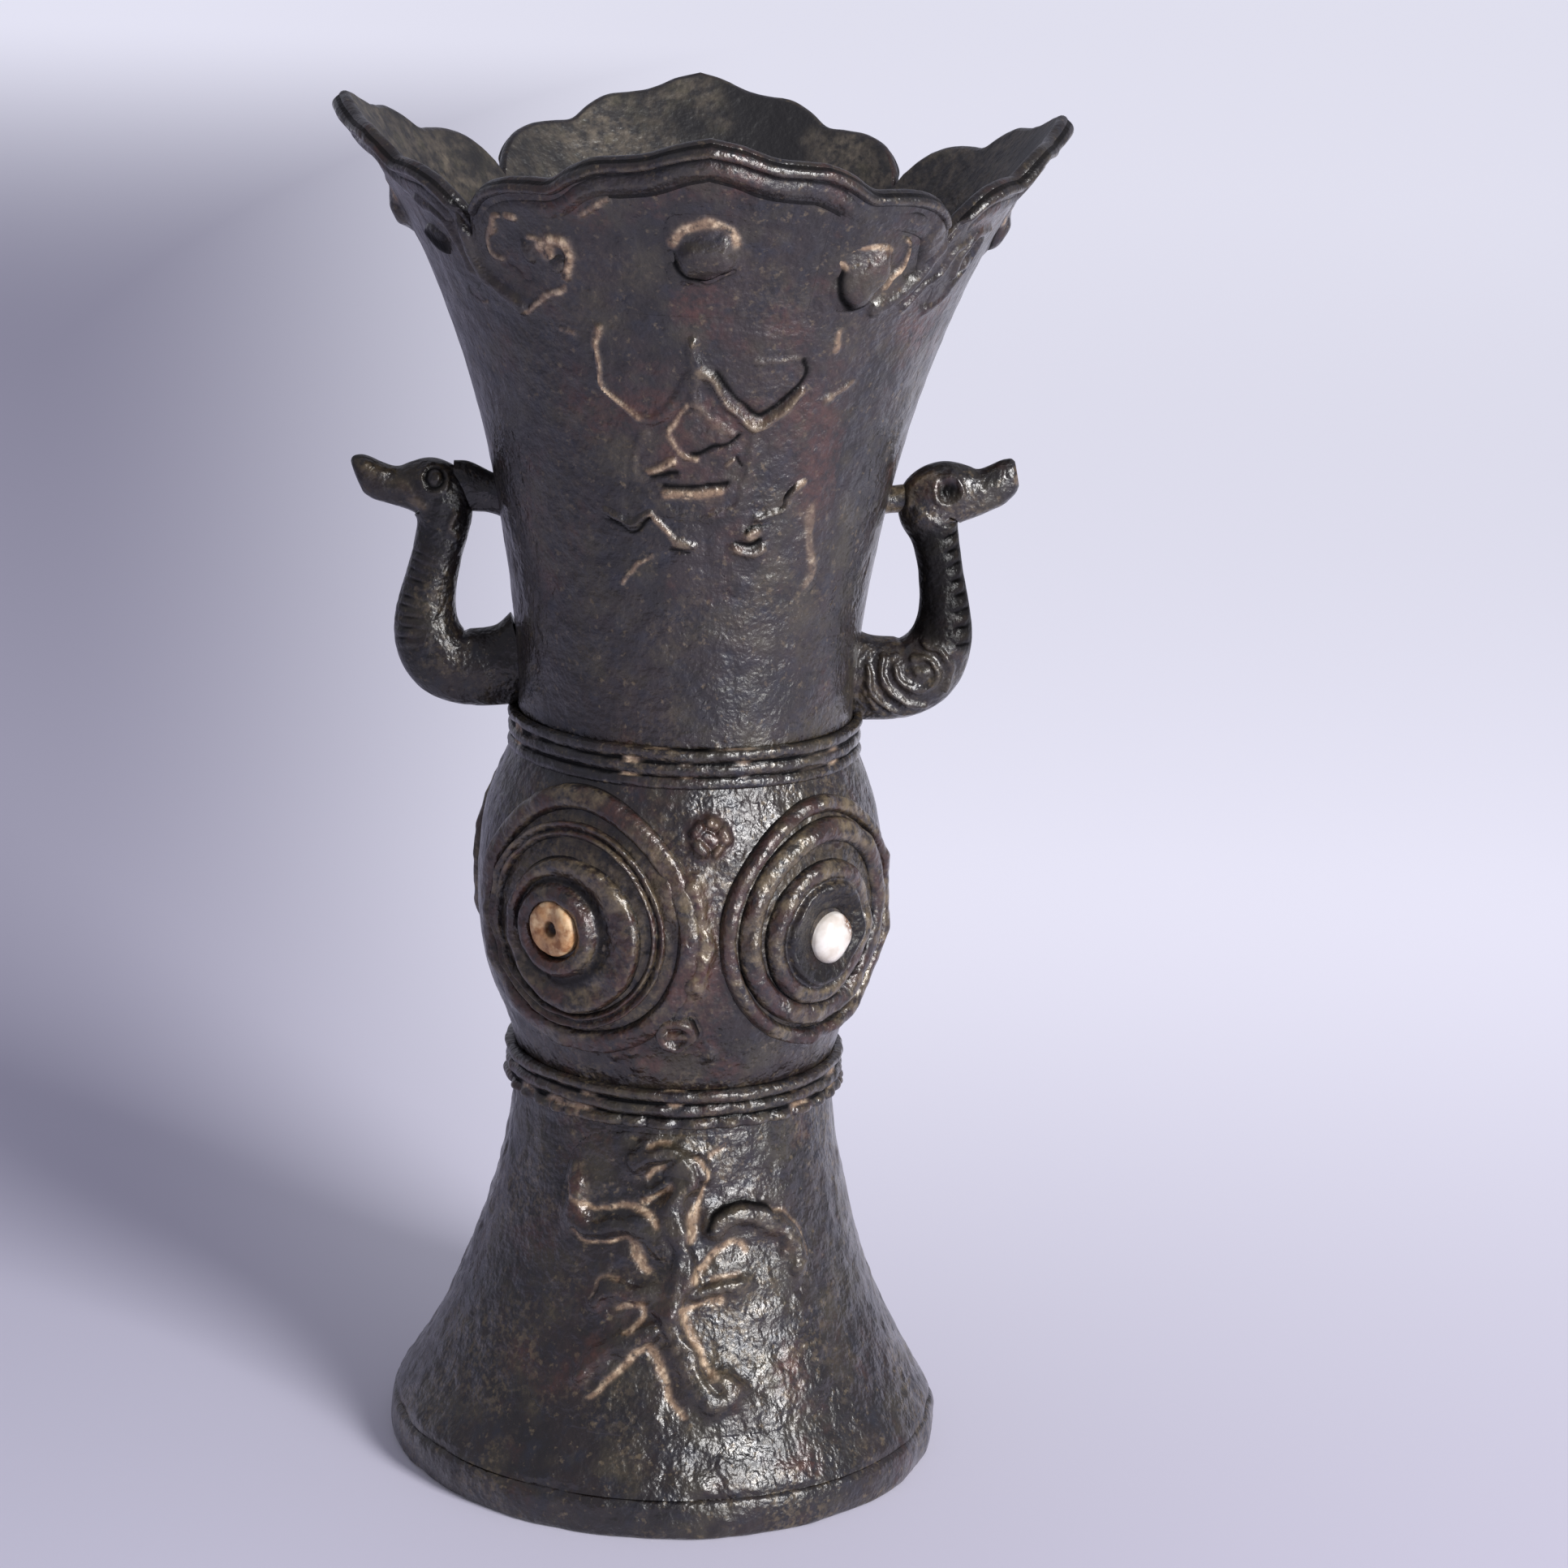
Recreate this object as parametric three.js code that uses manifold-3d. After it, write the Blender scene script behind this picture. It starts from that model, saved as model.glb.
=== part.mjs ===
// A twin-handled bronze vase in the manner of an archaic ritual beaker: a flared hollow foot, a round
// knop with inlaid eyes, and a trumpet beaker with a four-petalled rim and two bird handles.
// Millimetres, +Z up. The origin is the centre of the foot on the table, and the front is -Y.
// Azimuths are degrees from the front, growing towards +X.
import * as THREE from 'three';
import Module from 'manifold-3d';

// Heights of the three castings, stacked on each other
const FOOT_HEIGHT = 80;
const KNOP_HEIGHT = 68.5;
const BEAKER_HEIGHT = 120.5;

// Outer radii
const FOOT_RADIUS = 55.4;
const LOWER_NECK_RADIUS = 31.8;
const KNOP_RADIUS = 40.2;
const UPPER_NECK_RADIUS = 33;
const PETAL_TIP_RADIUS = 69.6;

// Walls and clearances
const WALL = 3;
const RIM_WALL = 2.6;
const CLEARANCE = 0.3;

// Foot band: a hoop round the lower edge of the foot
const BAND_HEIGHT = 8;
const BAND_THICKNESS = 2;

// Floor of the vase: a disc on a ledge at the top of the foot
const FLOOR_THICKNESS = 3;
const LEDGE_WIDTH = 2.5;
const LEDGE_THICKNESS = 3;

// Collars: cast sleeves of three cords over each joint
const COLLAR_HEIGHT = 8;
const COLLAR_WALL = 0.9;
const CORD_HEIGHT = 1.1;
const CORD_COUNT = 3;

// Rim: how far the edge lies below the petal tips, at each azimuth from the middle of a petal
const PETAL_COUNT = 4;
const PETAL_EDGE = [
  [0, 0], [4, 1.1], [9, 3.2], [13, 3.9], [17, 4.4], [21, 6.3], [25, 8.9],
  [29, 9.2], [34, 9.7], [39, 11.6], [43, 15], [45, 18],
];
const EDGING_WIDTH = 5.6;
const EDGING_HEIGHT = 1.1;
const EDGING_SHOULDER = 0.7;
const EDGING_SETBACK = 0.4;
const EDGING_HALF_SPAN = 41;

// Corner scrolls and bosses, drawn in mm across and up from a centre above the notch between two petals
const SCROLL_RISE = 8;
const SCROLL_CURL = [
  [9.5, -10.2], [5.4, -10.8], [2.6, -12.4], [2.4, -15.2], [5, -17.2], [8, -15.6], [7.2, -13.2],
];
const SCROLL_TAIL = [[0, -22.4], [5, -22.2], [9.5, -20.6], [14, -17.8]];
const SCROLL_STEM = [[0, -9.2], [0, -15], [0, -22.6]];
const SCROLL_WIDTH = 2.6;
const SCROLL_HEIGHT = 1.3;
const STEM_WIDTH = 6.2;
const STEM_HEIGHT = 1;
const CORNER_BOSS_OFFSET = 14;
const CORNER_BOSS_DROP = 13;
const CORNER_BOSS_RADIUS = 4.3;
const PETAL_BOSS_RADIUS = 4.9;
const PETAL_BOSS_DROP = 21;
const BOSS_HEIGHT = 2.4;

// Knop bulge: share of the bulge's height, share of its swelling
const KNOP_BULGE = [
  [0, 0], [0.1, 0.22], [0.22, 0.61], [0.36, 0.87], [0.52, 1],
  [0.68, 0.94], [0.8, 0.78], [0.9, 0.52], [1, 0.18],
];

// Eyes on the knop, in pairs at the front and the back, as large as the knop's height lets them be
const LEFT_EYE_AZIMUTH = -36.5;
const RIGHT_EYE_AZIMUTH = 45.1;
const EYE_HEIGHT = 0.52 * KNOP_HEIGHT;
const PUPIL_RADIUS = 0.079 * KNOP_HEIGHT;
const PUPIL_HEIGHT = 2.8;
const SOCKET_LIP_RADIUS = 0.12 * KNOP_HEIGHT;
const SOCKET_RADIUS = 0.178 * KNOP_HEIGHT;
const SOCKET_HEIGHT = 2.2;
const SOCKET_SHOULDER = 0.8;
const MOAT_WIDTH = 1.2;
const MIDDLE_RING_RADIUS = 0.269 * KNOP_HEIGHT;
const MIDDLE_RING_WIDTH = 0.058 * KNOP_HEIGHT;
const OUTER_RING_RADIUS = 0.334 * KNOP_HEIGHT;
const OUTER_RING_WIDTH = 0.044 * KNOP_HEIGHT;
const RING_HEIGHT = 1.3;

// Small bosses between the eyes: millimetres across from the front line and up from the eyes
const KNOP_BOSSES = { upper: [5, 0.298 * KNOP_HEIGHT], lower: [-0.5, -0.28 * KNOP_HEIGHT] };
const KNOP_BOSS_RADIUS = 3.9;
const KNOP_BOSS_HEIGHT = 1.6;

// Mask on the beaker: lines drawn across and up from its centre, in hundredths of the beaker's height
const MASK_UNIT = BEAKER_HEIGHT / 100;
const MASK_HEIGHT = 55.2 * MASK_UNIT;
const MASK_BROWS = [
  [-13.3, 15.4], [-14.3, 9.1], [-12.4, 3.7], [-7.9, 1.2], [-3.3, 4.6], [-0.6, 9.1],
  [3.3, 5.4], [8.1, 0.8], [12.4, 3.2], [15.4, 8.8], [12.4, 11.3],
];
const MASK_NOSE = [[-0.8, 4.1], [-4.1, -1.9], [-1.2, -4.1], [5.1, -1.7], [-0.8, 4.1]];
const MASK_CREST = [[-1.2, 14.1], [-0.8, 9.1], [-0.8, 3.8]];
const MASK_FACE = [
  [-7.5, 1.7], [-10, -3.3], [-9.5, -8.3], [-4.6, -13.3],
  [0.8, -14.5], [6.2, -12.4], [8.3, -7.5], [8.3, 1.2],
];
const MASK_MOUTH = [[-4.6, -10.5], [-0.4, -10.6], [3.8, -10.1]];
const MASK_CHIN = [[-0.5, -10.6], [-0.3, -14.3]];
const MASK_BRIDGE = [[-1.2, -3.8], [-0.5, -10.5]];
const LEFT_WHISKER = [[-15.4, -14.9], [-11, -16.6], [-7.5, -14.9], [-4.1, -17.8], [0, -19.1]];
const RIGHT_WHISKER = [[17, -9.1], [14.1, -12.9], [10, -14.9], [8.6, -17.9], [12, -18.8]];
const MASK_LINE_WIDTH = 1.5;
const MASK_RELIEF = 0.9;

// Creature on the foot: lines drawn across and up from its centre, in hundredths of the foot's height.
// In their order: spine, head, jaw, left arm, left paw, wing, right paw, left leg and tail.
const CREATURE_UNIT = FOOT_HEIGHT / 100;
const CREATURE_HEIGHT = 57.5 * CREATURE_UNIT;
const CREATURE_LINES = [
  { width: 5.5, line: [[6.8, 26.9], [8.3, 21.3], [5, 13.1], [2.8, 5], [0.3, -3.8], [-0.4, -11.3]] },
  { width: 3.8, line: [[7.5, 24.4], [5, 29.4], [-0.6, 31], [-6, 30.4], [-10.3, 28.5]] },
  { width: 2.8, line: [[5.8, 22], [0, 24], [-6.5, 22]] },
  { width: 3.8, line: [[0.6, 3.8], [-5, 10], [-13.8, 14], [-21.3, 12.5], [-25.8, 16.3], [-28, 21.3]] },
  { width: 3, line: [[0, -3.3], [-6.3, -2.3], [-13.8, -2.3], [-18.3, -6.3]] },
  { width: 4.5, line: [[1.3, 0.6], [7.5, 5.5], [13.8, 11.8], [22.5, 13], [30, 8], [32.5, 1.3]] },
  { width: 3, line: [[0.6, -3.3], [8.8, -1.5], [17, -0.8]] },
  { width: 3.8, line: [[0, -7], [-5, -10.8], [-11.3, -17], [-16.3, -23.8]] },
  { width: 4.8, line: [[-0.5, -8], [1.3, -15], [4.5, -22], [8.3, -26.3], [12.5, -25]] },
];
const CREATURE_RELIEF = 1.5;

// Bird handles: stations from the tail at the wall, up the neck, to the beak, each with its reach from
// the beaker's wall, height above the upper joint, half width in the bird's plane and half thickness
const RIGHT_BIRD = [
  [-3.3, 12.4, 7.8, 5.4], [2.7, 12.3, 7.9, 5.6], [8.7, 12.6, 7.8, 5.8], [13.6, 14.1, 7.3, 5.8],
  [16.4, 18.2, 6.4, 5.5], [16.2, 24, 5.2, 5], [13.4, 32, 4.4, 4.4], [10.1, 39.6, 4.8, 4.4],
  [8.5, 44.4, 6, 4.8], [10, 48.8, 6.5, 4.8], [13.8, 50.1, 4.6, 4], [17.7, 50.5, 3.2, 3],
  [20.8, 52.5, 2.5, 2.6], [22.1, 54.8, 1.6, 1.8],
];
const LEFT_BIRD = [
  [-3.3, 12.9, 8.2, 5.4], [2.7, 12.7, 8.1, 5.6], [9.2, 12.1, 7.6, 5.8], [14.8, 13.1, 7.1, 5.8],
  [17.9, 17.3, 6.6, 5.5], [18, 23, 5.7, 5], [14.9, 31, 4.9, 4.6], [11.9, 37.5, 5.1, 4.5],
  [10.3, 42, 6.1, 4.8], [11.7, 46.1, 6.3, 4.8], [16, 46.9, 4.6, 4], [20.5, 46.8, 3.4, 3.1],
  [24.3, 48.1, 2.8, 2.7], [26.7, 50.1, 1.9, 1.9],
];
const HEAD_INDEX = 9;
const RIGHT_STRUT_HEIGHT = 47;
const LEFT_STRUT_HEIGHT = 45.4;
const STRUT_HALF_HEIGHT = 3.6;
const STRUT_HALF_THICKNESS = 3;

// Fineness of the meshes
const ROUND_STEPS = 40;
const BEAKER_STEPS = 72;
const RING_STEPS = 20;
const BOSS_STEPS = 12;
const BIRD_STEPS = 22;
const BIRD_SIDES = 12;
const EDGING_STEPS = 18;
const CUTTER_ROWS = 24;
const STROKE_STEP = 3.6;

// Places that follow from the sizes above
const UPPER_JOINT = FOOT_HEIGHT + KNOP_HEIGHT;
const TIP_HEIGHT = UPPER_JOINT + BEAKER_HEIGHT;
const HALF_COLLAR = COLLAR_HEIGHT / 2;
const PETAL_ANGLE = 360 / PETAL_COUNT;

const wasm = await Module();
wasm.setup();

// Materials

const bronze = new THREE.MeshStandardMaterial({ color: 0x2c2624, roughness: 0.5, metalness: 0.75 });
const wornBronze = new THREE.MeshStandardMaterial({ color: 0x3d342b, roughness: 0.45, metalness: 0.75 });
const patinatedBronze = new THREE.MeshStandardMaterial({ color: 0x4c4a3c, roughness: 0.8, metalness: 0.4 });
const bone = new THREE.MeshStandardMaterial({ color: 0xb98b5e, roughness: 0.6, metalness: 0 });
const shell = new THREE.MeshStandardMaterial({ color: 0xd9d2cb, roughness: 0.4, metalness: 0 });

// Closed meshes

/** Joins loops of points into one closed body. A loop of one point is a pole. */
function loft(loops, closed = false) {
  const positions = loops.flat(2);
  const starts = [0];
  for (const loop of loops) {
    starts.push(starts.at(-1) + loop.length);
  }
  const faces = [];
  const spans = closed ? loops.length : loops.length - 1;
  for (let i = 0; i < spans; i++) {
    const j = (i + 1) % loops.length;
    const count = Math.max(loops[i].length, loops[j].length);
    const corner = (loop, k) => starts[loop] + (loops[loop].length === 1 ? 0 : k % count);
    for (let k = 0; k < count; k++) {
      if (loops[i].length > 1) faces.push(corner(i, k), corner(i, k + 1), corner(j, k));
      if (loops[j].length > 1) faces.push(corner(i, k + 1), corner(j, k + 1), corner(j, k));
    }
  }
  return facingOut(positions, faces);
}

/** Six times the volume inside a mesh, negative when its faces point in. */
function signedVolume(positions, faces) {
  const corner = (index) => new THREE.Vector3().fromArray(positions, 3 * index);
  let sum = 0;
  for (let f = 0; f < faces.length; f += 3) {
    sum += corner(faces[f]).dot(corner(faces[f + 1]).cross(corner(faces[f + 2])));
  }
  return sum;
}

function facingOut(positions, faces) {
  const geometry = new THREE.BufferGeometry();
  geometry.setAttribute('position', new THREE.Float32BufferAttribute(positions, 3));
  geometry.setIndex(signedVolume(positions, faces) < 0 ? faces.slice().reverse() : faces);
  return geometry;
}

/** The mean of a loop, as a pole that closes the end of a loft. */
function pole(loop) {
  return [[0, 1, 2].map((axis) => loop.reduce((sum, point) => sum + point[axis], 0) / loop.length)];
}

function cappedLoft(loops) {
  return loft([pole(loops[0]), ...loops, pole(loops.at(-1))]);
}

// Solids for cuts and joins

function toSolid(geometry) {
  const vertProperties = new Float32Array(geometry.attributes.position.array);
  const triVerts = new Uint32Array(geometry.index.array);
  return new wasm.Manifold(new wasm.Mesh({ numProp: 3, vertProperties, triVerts }));
}

function fromSolid(solid) {
  const mesh = solid.getMesh();
  const geometry = new THREE.BufferGeometry();
  geometry.setAttribute('position', new THREE.BufferAttribute(mesh.vertProperties, 3));
  geometry.setIndex(new THREE.BufferAttribute(mesh.triVerts, 1));
  return geometry;
}

function joined(geometries) {
  return fromSolid(geometries.map(toSolid).reduce((whole, piece) => whole.add(piece)));
}

// Turned walls

function pointAt(azimuth, radius, height) {
  return [radius * Math.sin(azimuth), -radius * Math.cos(azimuth), height];
}

function circle(radius, height, steps = ROUND_STEPS) {
  const turn = (2 * Math.PI) / steps;
  return Array.from({ length: steps }, (_, i) => pointAt(i * turn, radius, height));
}

/** A turned shell, from its closed outline of [radius, height] points. */
function turned(outline, steps = ROUND_STEPS) {
  return loft(outline.map(([radius, height]) => circle(radius, height, steps)), true);
}

/** A value between the points of a list of [place, value] pairs, along straight lines. */
function between(pairs, place) {
  const last = pairs.findIndex(([end]) => end >= place);
  if (last === 0) return pairs[0][1];
  if (last < 0) return pairs.at(-1)[1];
  const [[start, from], [end, to]] = [pairs[last - 1], pairs[last]];
  return from + ((to - from) * (place - start)) / (end - start);
}

/** Points of a smooth line through a few drawn ones. */
function smooth(points, steps) {
  const drawn = points.map(([x, y]) => new THREE.Vector3(x, y, 0));
  const curve = new THREE.CatmullRomCurve3(drawn, false, 'centripetal');
  return curve.getSpacedPoints(steps).map(({ x, y }) => [x, y]);
}

/** The foot flares slowly at first, then ever faster down to its edge. */
function footRadius(height) {
  const flare = FOOT_HEIGHT - HALF_COLLAR - BAND_HEIGHT;
  const share = THREE.MathUtils.clamp((FOOT_HEIGHT - HALF_COLLAR - height) / flare, 0, 1);
  const opening = 0.66 * share ** 1.31 + 0.34 * share ** 3.24;
  return LOWER_NECK_RADIUS + (FOOT_RADIUS - LOWER_NECK_RADIUS) * opening;
}

const KNOP_ROWS = smooth(KNOP_BULGE, 12);

/** The knop swells from the lower collar and draws in again to the upper one. */
function knopRadius(height) {
  const start = FOOT_HEIGHT + HALF_COLLAR;
  const share = (height - start) / (KNOP_HEIGHT - COLLAR_HEIGHT);
  if (share <= 0) return LOWER_NECK_RADIUS;
  if (share >= 1) return UPPER_NECK_RADIUS;
  const neck = LOWER_NECK_RADIUS + (UPPER_NECK_RADIUS - LOWER_NECK_RADIUS) * share;
  return neck + (KNOP_RADIUS - neck) * between(KNOP_ROWS, share);
}

/** The beaker rises straight out of its collar, then opens like a trumpet to the petal tips. */
function beakerRadius(height) {
  const start = UPPER_JOINT + HALF_COLLAR;
  const share = THREE.MathUtils.clamp((height - start) / (TIP_HEIGHT - start), 0, 1);
  const opening = 0.74 * share ** 1.7 + 0.26 * share ** 4.8;
  return UPPER_NECK_RADIUS + (PETAL_TIP_RADIUS - UPPER_NECK_RADIUS) * opening;
}

/** Rows of [radius, height] up a wall, evenly spaced. */
function rows(radius, from, to, count) {
  return Array.from({ length: count + 1 }, (_, i) => {
    const height = from + ((to - from) * i) / count;
    return [radius(height), height];
  });
}

/** How far a wall's outside moves out for each millimetre up. */
function slopeAt(radius, height) {
  const step = 0.5;
  return (radius(height + step) - radius(height - step)) / (2 * step);
}

/** The point a depth inside a wall, square to its outside. */
function inside(radius, height, depth) {
  const slope = slopeAt(radius, height);
  const length = Math.hypot(1, slope);
  return [radius(height) - depth / length, height + (depth * slope) / length];
}

// Ornament laid on a wall

/**
 * A drawing board bent onto a wall. Its function takes places across and up from the centre, in the
 * drawing's unit, and a lift off the surface in mm, and gives the point in space.
 */
function board(radius, azimuth, height, unit = 1) {
  const centre = THREE.MathUtils.degToRad(azimuth);
  const reference = radius(height);
  return (across, up, lift) => {
    const [out, rise] = inside(radius, height + up * unit, -lift);
    return pointAt(centre + (across * unit) / reference, out, rise);
  };
}

/** A raised line with a flat top along a drawn line. Closed lines make rings. */
function ridge(at, line, width, relief, closed = false) {
  const crown = 0.3;
  const loops = line.map((point, i) => {
    const before = line[closed ? (i + line.length - 1) % line.length : Math.max(i - 1, 0)];
    const after = line[closed ? (i + 1) % line.length : Math.min(i + 1, line.length - 1)];
    const length = Math.hypot(after[0] - before[0], after[1] - before[1]);
    const side = [(before[1] - after[1]) / length, (after[0] - before[0]) / length];
    const place = (offset, lift) => at(point[0] + side[0] * offset, point[1] + side[1] * offset, lift);
    const top = CLEARANCE + relief;
    return [
      place(-width / 2, CLEARANCE),
      place(-width * crown, top),
      place(width * crown, top),
      place(width / 2, CLEARANCE),
    ];
  });
  return closed ? loft(loops, true) : cappedLoft(loops);
}

function stroke(at, points, width, relief) {
  const places = points.map(([across, up]) => new THREE.Vector3(...at(across, up, 0)));
  const length = places.slice(1).reduce((sum, place, i) => sum + place.distanceTo(places[i]), 0);
  return ridge(at, smooth(points, Math.max(2, Math.round(length / STROKE_STEP))), width, relief);
}

/** An ellipse on a drawing board. */
function oval(at, halfWidth, halfHeight, lift, steps) {
  return Array.from({ length: steps }, (_, i) => {
    const turn = (2 * Math.PI * i) / steps;
    return at(halfWidth * Math.cos(turn), halfHeight * Math.sin(turn), lift);
  });
}

/** A round boss with a domed top. */
function boss(at, radius, relief) {
  const shoulder = 0.75 * radius;
  const shoulderHeight = 0.8 * relief;
  return loft([
    [at(0, 0, CLEARANCE)],
    oval(at, radius, radius, CLEARANCE, BOSS_STEPS),
    oval(at, shoulder, shoulder, CLEARANCE + shoulderHeight, BOSS_STEPS),
    [at(0, 0, CLEARANCE + relief)],
  ]);
}

/** A raised ring round the centre of a drawing board. */
function ring(at, radius, width, relief) {
  const line = Array.from({ length: RING_STEPS }, (_, i) => {
    const turn = (2 * Math.PI * i) / RING_STEPS;
    return [radius * Math.cos(turn), radius * Math.sin(turn)];
  });
  return ridge(at, line, width, relief, true);
}

// Castings

function footGeometry() {
  const outerSteps = 8;
  const rebate = FOOT_RADIUS - BAND_THICKNESS - CLEARANCE;
  const shoulder = BAND_HEIGHT + CLEARANCE;
  const neckBore = LOWER_NECK_RADIUS - WALL;
  const ledge = FOOT_HEIGHT - LEDGE_THICKNESS;
  const outside = rows(footRadius, shoulder, FOOT_HEIGHT - HALF_COLLAR, outerSteps);
  const bore = outside.filter((_, i) => i % 2 === 0);
  const inner = bore.map(([, height]) => inside(footRadius, height, WALL)).reverse();
  return turned([
    [rebate - WALL, 0],
    [rebate, 0],
    [rebate, shoulder],
    ...outside,
    [LOWER_NECK_RADIUS, FOOT_HEIGHT],
    [neckBore - LEDGE_WIDTH, FOOT_HEIGHT],
    [neckBore - LEDGE_WIDTH, ledge],
    [neckBore, ledge],
    ...inner,
  ]);
}

function footBandGeometry() {
  const edge = 0.8;
  const bore = FOOT_RADIUS - BAND_THICKNESS;
  return turned([
    [bore, 0],
    [FOOT_RADIUS - edge / 2, 0],
    [FOOT_RADIUS + edge / 2, BAND_HEIGHT / 2],
    [FOOT_RADIUS, BAND_HEIGHT],
    [bore, BAND_HEIGHT],
  ]);
}

function floorGeometry() {
  const radius = LOWER_NECK_RADIUS - WALL - CLEARANCE;
  const top = FOOT_HEIGHT + FLOOR_THICKNESS;
  return loft([[[0, 0, FOOT_HEIGHT]], circle(radius, FOOT_HEIGHT), circle(radius, top), [[0, 0, top]]]);
}

function knopGeometry() {
  const bulge = rows(knopRadius, FOOT_HEIGHT + HALF_COLLAR, UPPER_JOINT - HALF_COLLAR, 8);
  const everySecond = bulge.filter((_, i) => i % 2 === 0);
  const bore = everySecond.map(([radius, height]) => [radius - WALL, height]).reverse();
  return turned([
    [LOWER_NECK_RADIUS - WALL, FOOT_HEIGHT],
    [LOWER_NECK_RADIUS, FOOT_HEIGHT],
    ...bulge,
    [UPPER_NECK_RADIUS, UPPER_JOINT],
    [UPPER_NECK_RADIUS - WALL, UPPER_JOINT],
    ...bore,
  ]);
}

/** Height of the scalloped rim at an azimuth in degrees. */
function rimHeight(azimuth) {
  const fromCorner = THREE.MathUtils.euclideanModulo(azimuth + PETAL_ANGLE / 2, PETAL_ANGLE);
  return TIP_HEIGHT - between(PETAL_EDGE, Math.abs(fromCorner - PETAL_ANGLE / 2));
}

/** The beaker's wall rises in columns, each to its own height on the scalloped rim. */
function beakerGeometry() {
  const outerSteps = 10;
  const innerSteps = 5;
  const rimStart = 0.9;
  const turn = 360 / BEAKER_STEPS;
  const azimuths = Array.from({ length: BEAKER_STEPS }, (_, i) => i * turn);
  const flareStart = UPPER_JOINT + HALF_COLLAR;
  const loopAt = (share, depthAt) => azimuths.map((azimuth) => {
    const height = flareStart + (rimHeight(azimuth) - flareStart) * share;
    const [radius, level] = inside(beakerRadius, height, depthAt);
    return pointAt(THREE.MathUtils.degToRad(azimuth), radius, level);
  });
  const closerToRim = (share) => 1 - (1 - share) ** 1.4;
  const outside = Array.from({ length: outerSteps + 1 }, (_, i) => loopAt(closerToRim(i / outerSteps), 0));
  const bore = Array.from({ length: innerSteps + 1 }, (_, i) => {
    const share = closerToRim(1 - i / innerSteps);
    return loopAt(share, share > rimStart ? RIM_WALL : WALL);
  });
  return loft([
    circle(UPPER_NECK_RADIUS - WALL, UPPER_JOINT, BEAKER_STEPS),
    circle(UPPER_NECK_RADIUS, UPPER_JOINT, BEAKER_STEPS),
    ...outside,
    ...bore,
  ], true);
}

/** A sleeve of cords over a joint, bored to clear the pieces that it covers. */
function collarGeometry(joint, neckRadius) {
  const bore = neckRadius + CLEARANCE;
  const cord = COLLAR_HEIGHT / CORD_COUNT;
  const outline = [[bore, joint - HALF_COLLAR]];
  for (let i = 0; i < CORD_COUNT; i++) {
    const foot = joint - HALF_COLLAR + i * cord;
    outline.push([bore + COLLAR_WALL, foot], [bore + COLLAR_WALL + CORD_HEIGHT, foot + cord / 2]);
  }
  outline.push([bore + COLLAR_WALL, joint + HALF_COLLAR], [bore, joint + HALF_COLLAR]);
  return turned(outline);
}

// Rim ornament

function edgingGeometry(petal) {
  const step = (2 * EDGING_HALF_SPAN) / EDGING_STEPS;
  const drop = EDGING_SETBACK + EDGING_WIDTH / 2;
  const at = board(beakerRadius, 0, TIP_HEIGHT);
  const line = Array.from({ length: EDGING_STEPS + 1 }, (_, i) => {
    const azimuth = petal - EDGING_HALF_SPAN + i * step;
    const across = THREE.MathUtils.degToRad(azimuth) * PETAL_TIP_RADIUS;
    return [across, rimHeight(azimuth) - TIP_HEIGHT - drop];
  });
  return bandAlong(at, line, EDGING_WIDTH, EDGING_HEIGHT);
}

/** A raised band whose two edges are the same line moved up and down. */
function bandAlong(at, line, width, relief) {
  return cappedLoft(line.map(([across, up]) => [
    at(across, up - width / 2, CLEARANCE),
    at(across, up - width / 2 + EDGING_SHOULDER, CLEARANCE + relief),
    at(across, up + width / 2 - EDGING_SHOULDER, CLEARANCE + relief),
    at(across, up + width / 2, CLEARANCE),
  ]));
}

function cornerScrollGeometry(corner) {
  const at = board(beakerRadius, corner, rimHeight(corner) + SCROLL_RISE);
  const mirrored = (points) => points.map(([across, up]) => [-across, up]);
  const lines = [SCROLL_CURL, mirrored(SCROLL_CURL), SCROLL_TAIL, mirrored(SCROLL_TAIL)];
  const stem = stroke(at, SCROLL_STEM, STEM_WIDTH, STEM_HEIGHT);
  return joined([stem, ...lines.map((line) => stroke(at, line, SCROLL_WIDTH, SCROLL_HEIGHT))]);
}

// Knop ornament

/** A cup with a lip round the pupil's hole, then a moat and a lower brim round the lip. */
function socketGeometry(at) {
  const hole = PUPIL_RADIUS + CLEARANCE;
  const moatEnd = SOCKET_LIP_RADIUS + MOAT_WIDTH;
  const moatFloor = 0.3 * SOCKET_HEIGHT;
  const brim = 0.65 * SOCKET_HEIGHT;
  const step = (radius, lift) => oval(at, radius, radius, CLEARANCE + lift, RING_STEPS);
  return loft([
    step(hole, 0),
    step(hole, SOCKET_HEIGHT),
    step(SOCKET_LIP_RADIUS - SOCKET_SHOULDER, SOCKET_HEIGHT),
    step(SOCKET_LIP_RADIUS, moatFloor),
    step(moatEnd, moatFloor),
    step(moatEnd + SOCKET_SHOULDER, brim),
    step(SOCKET_RADIUS - SOCKET_SHOULDER, brim),
    step(SOCKET_RADIUS, 0),
  ], true);
}

// Handles

function stationCentre([reach, up]) {
  const level = UPPER_JOINT + up;
  return new THREE.Vector3(beakerRadius(level) + reach, 0, level);
}

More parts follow.
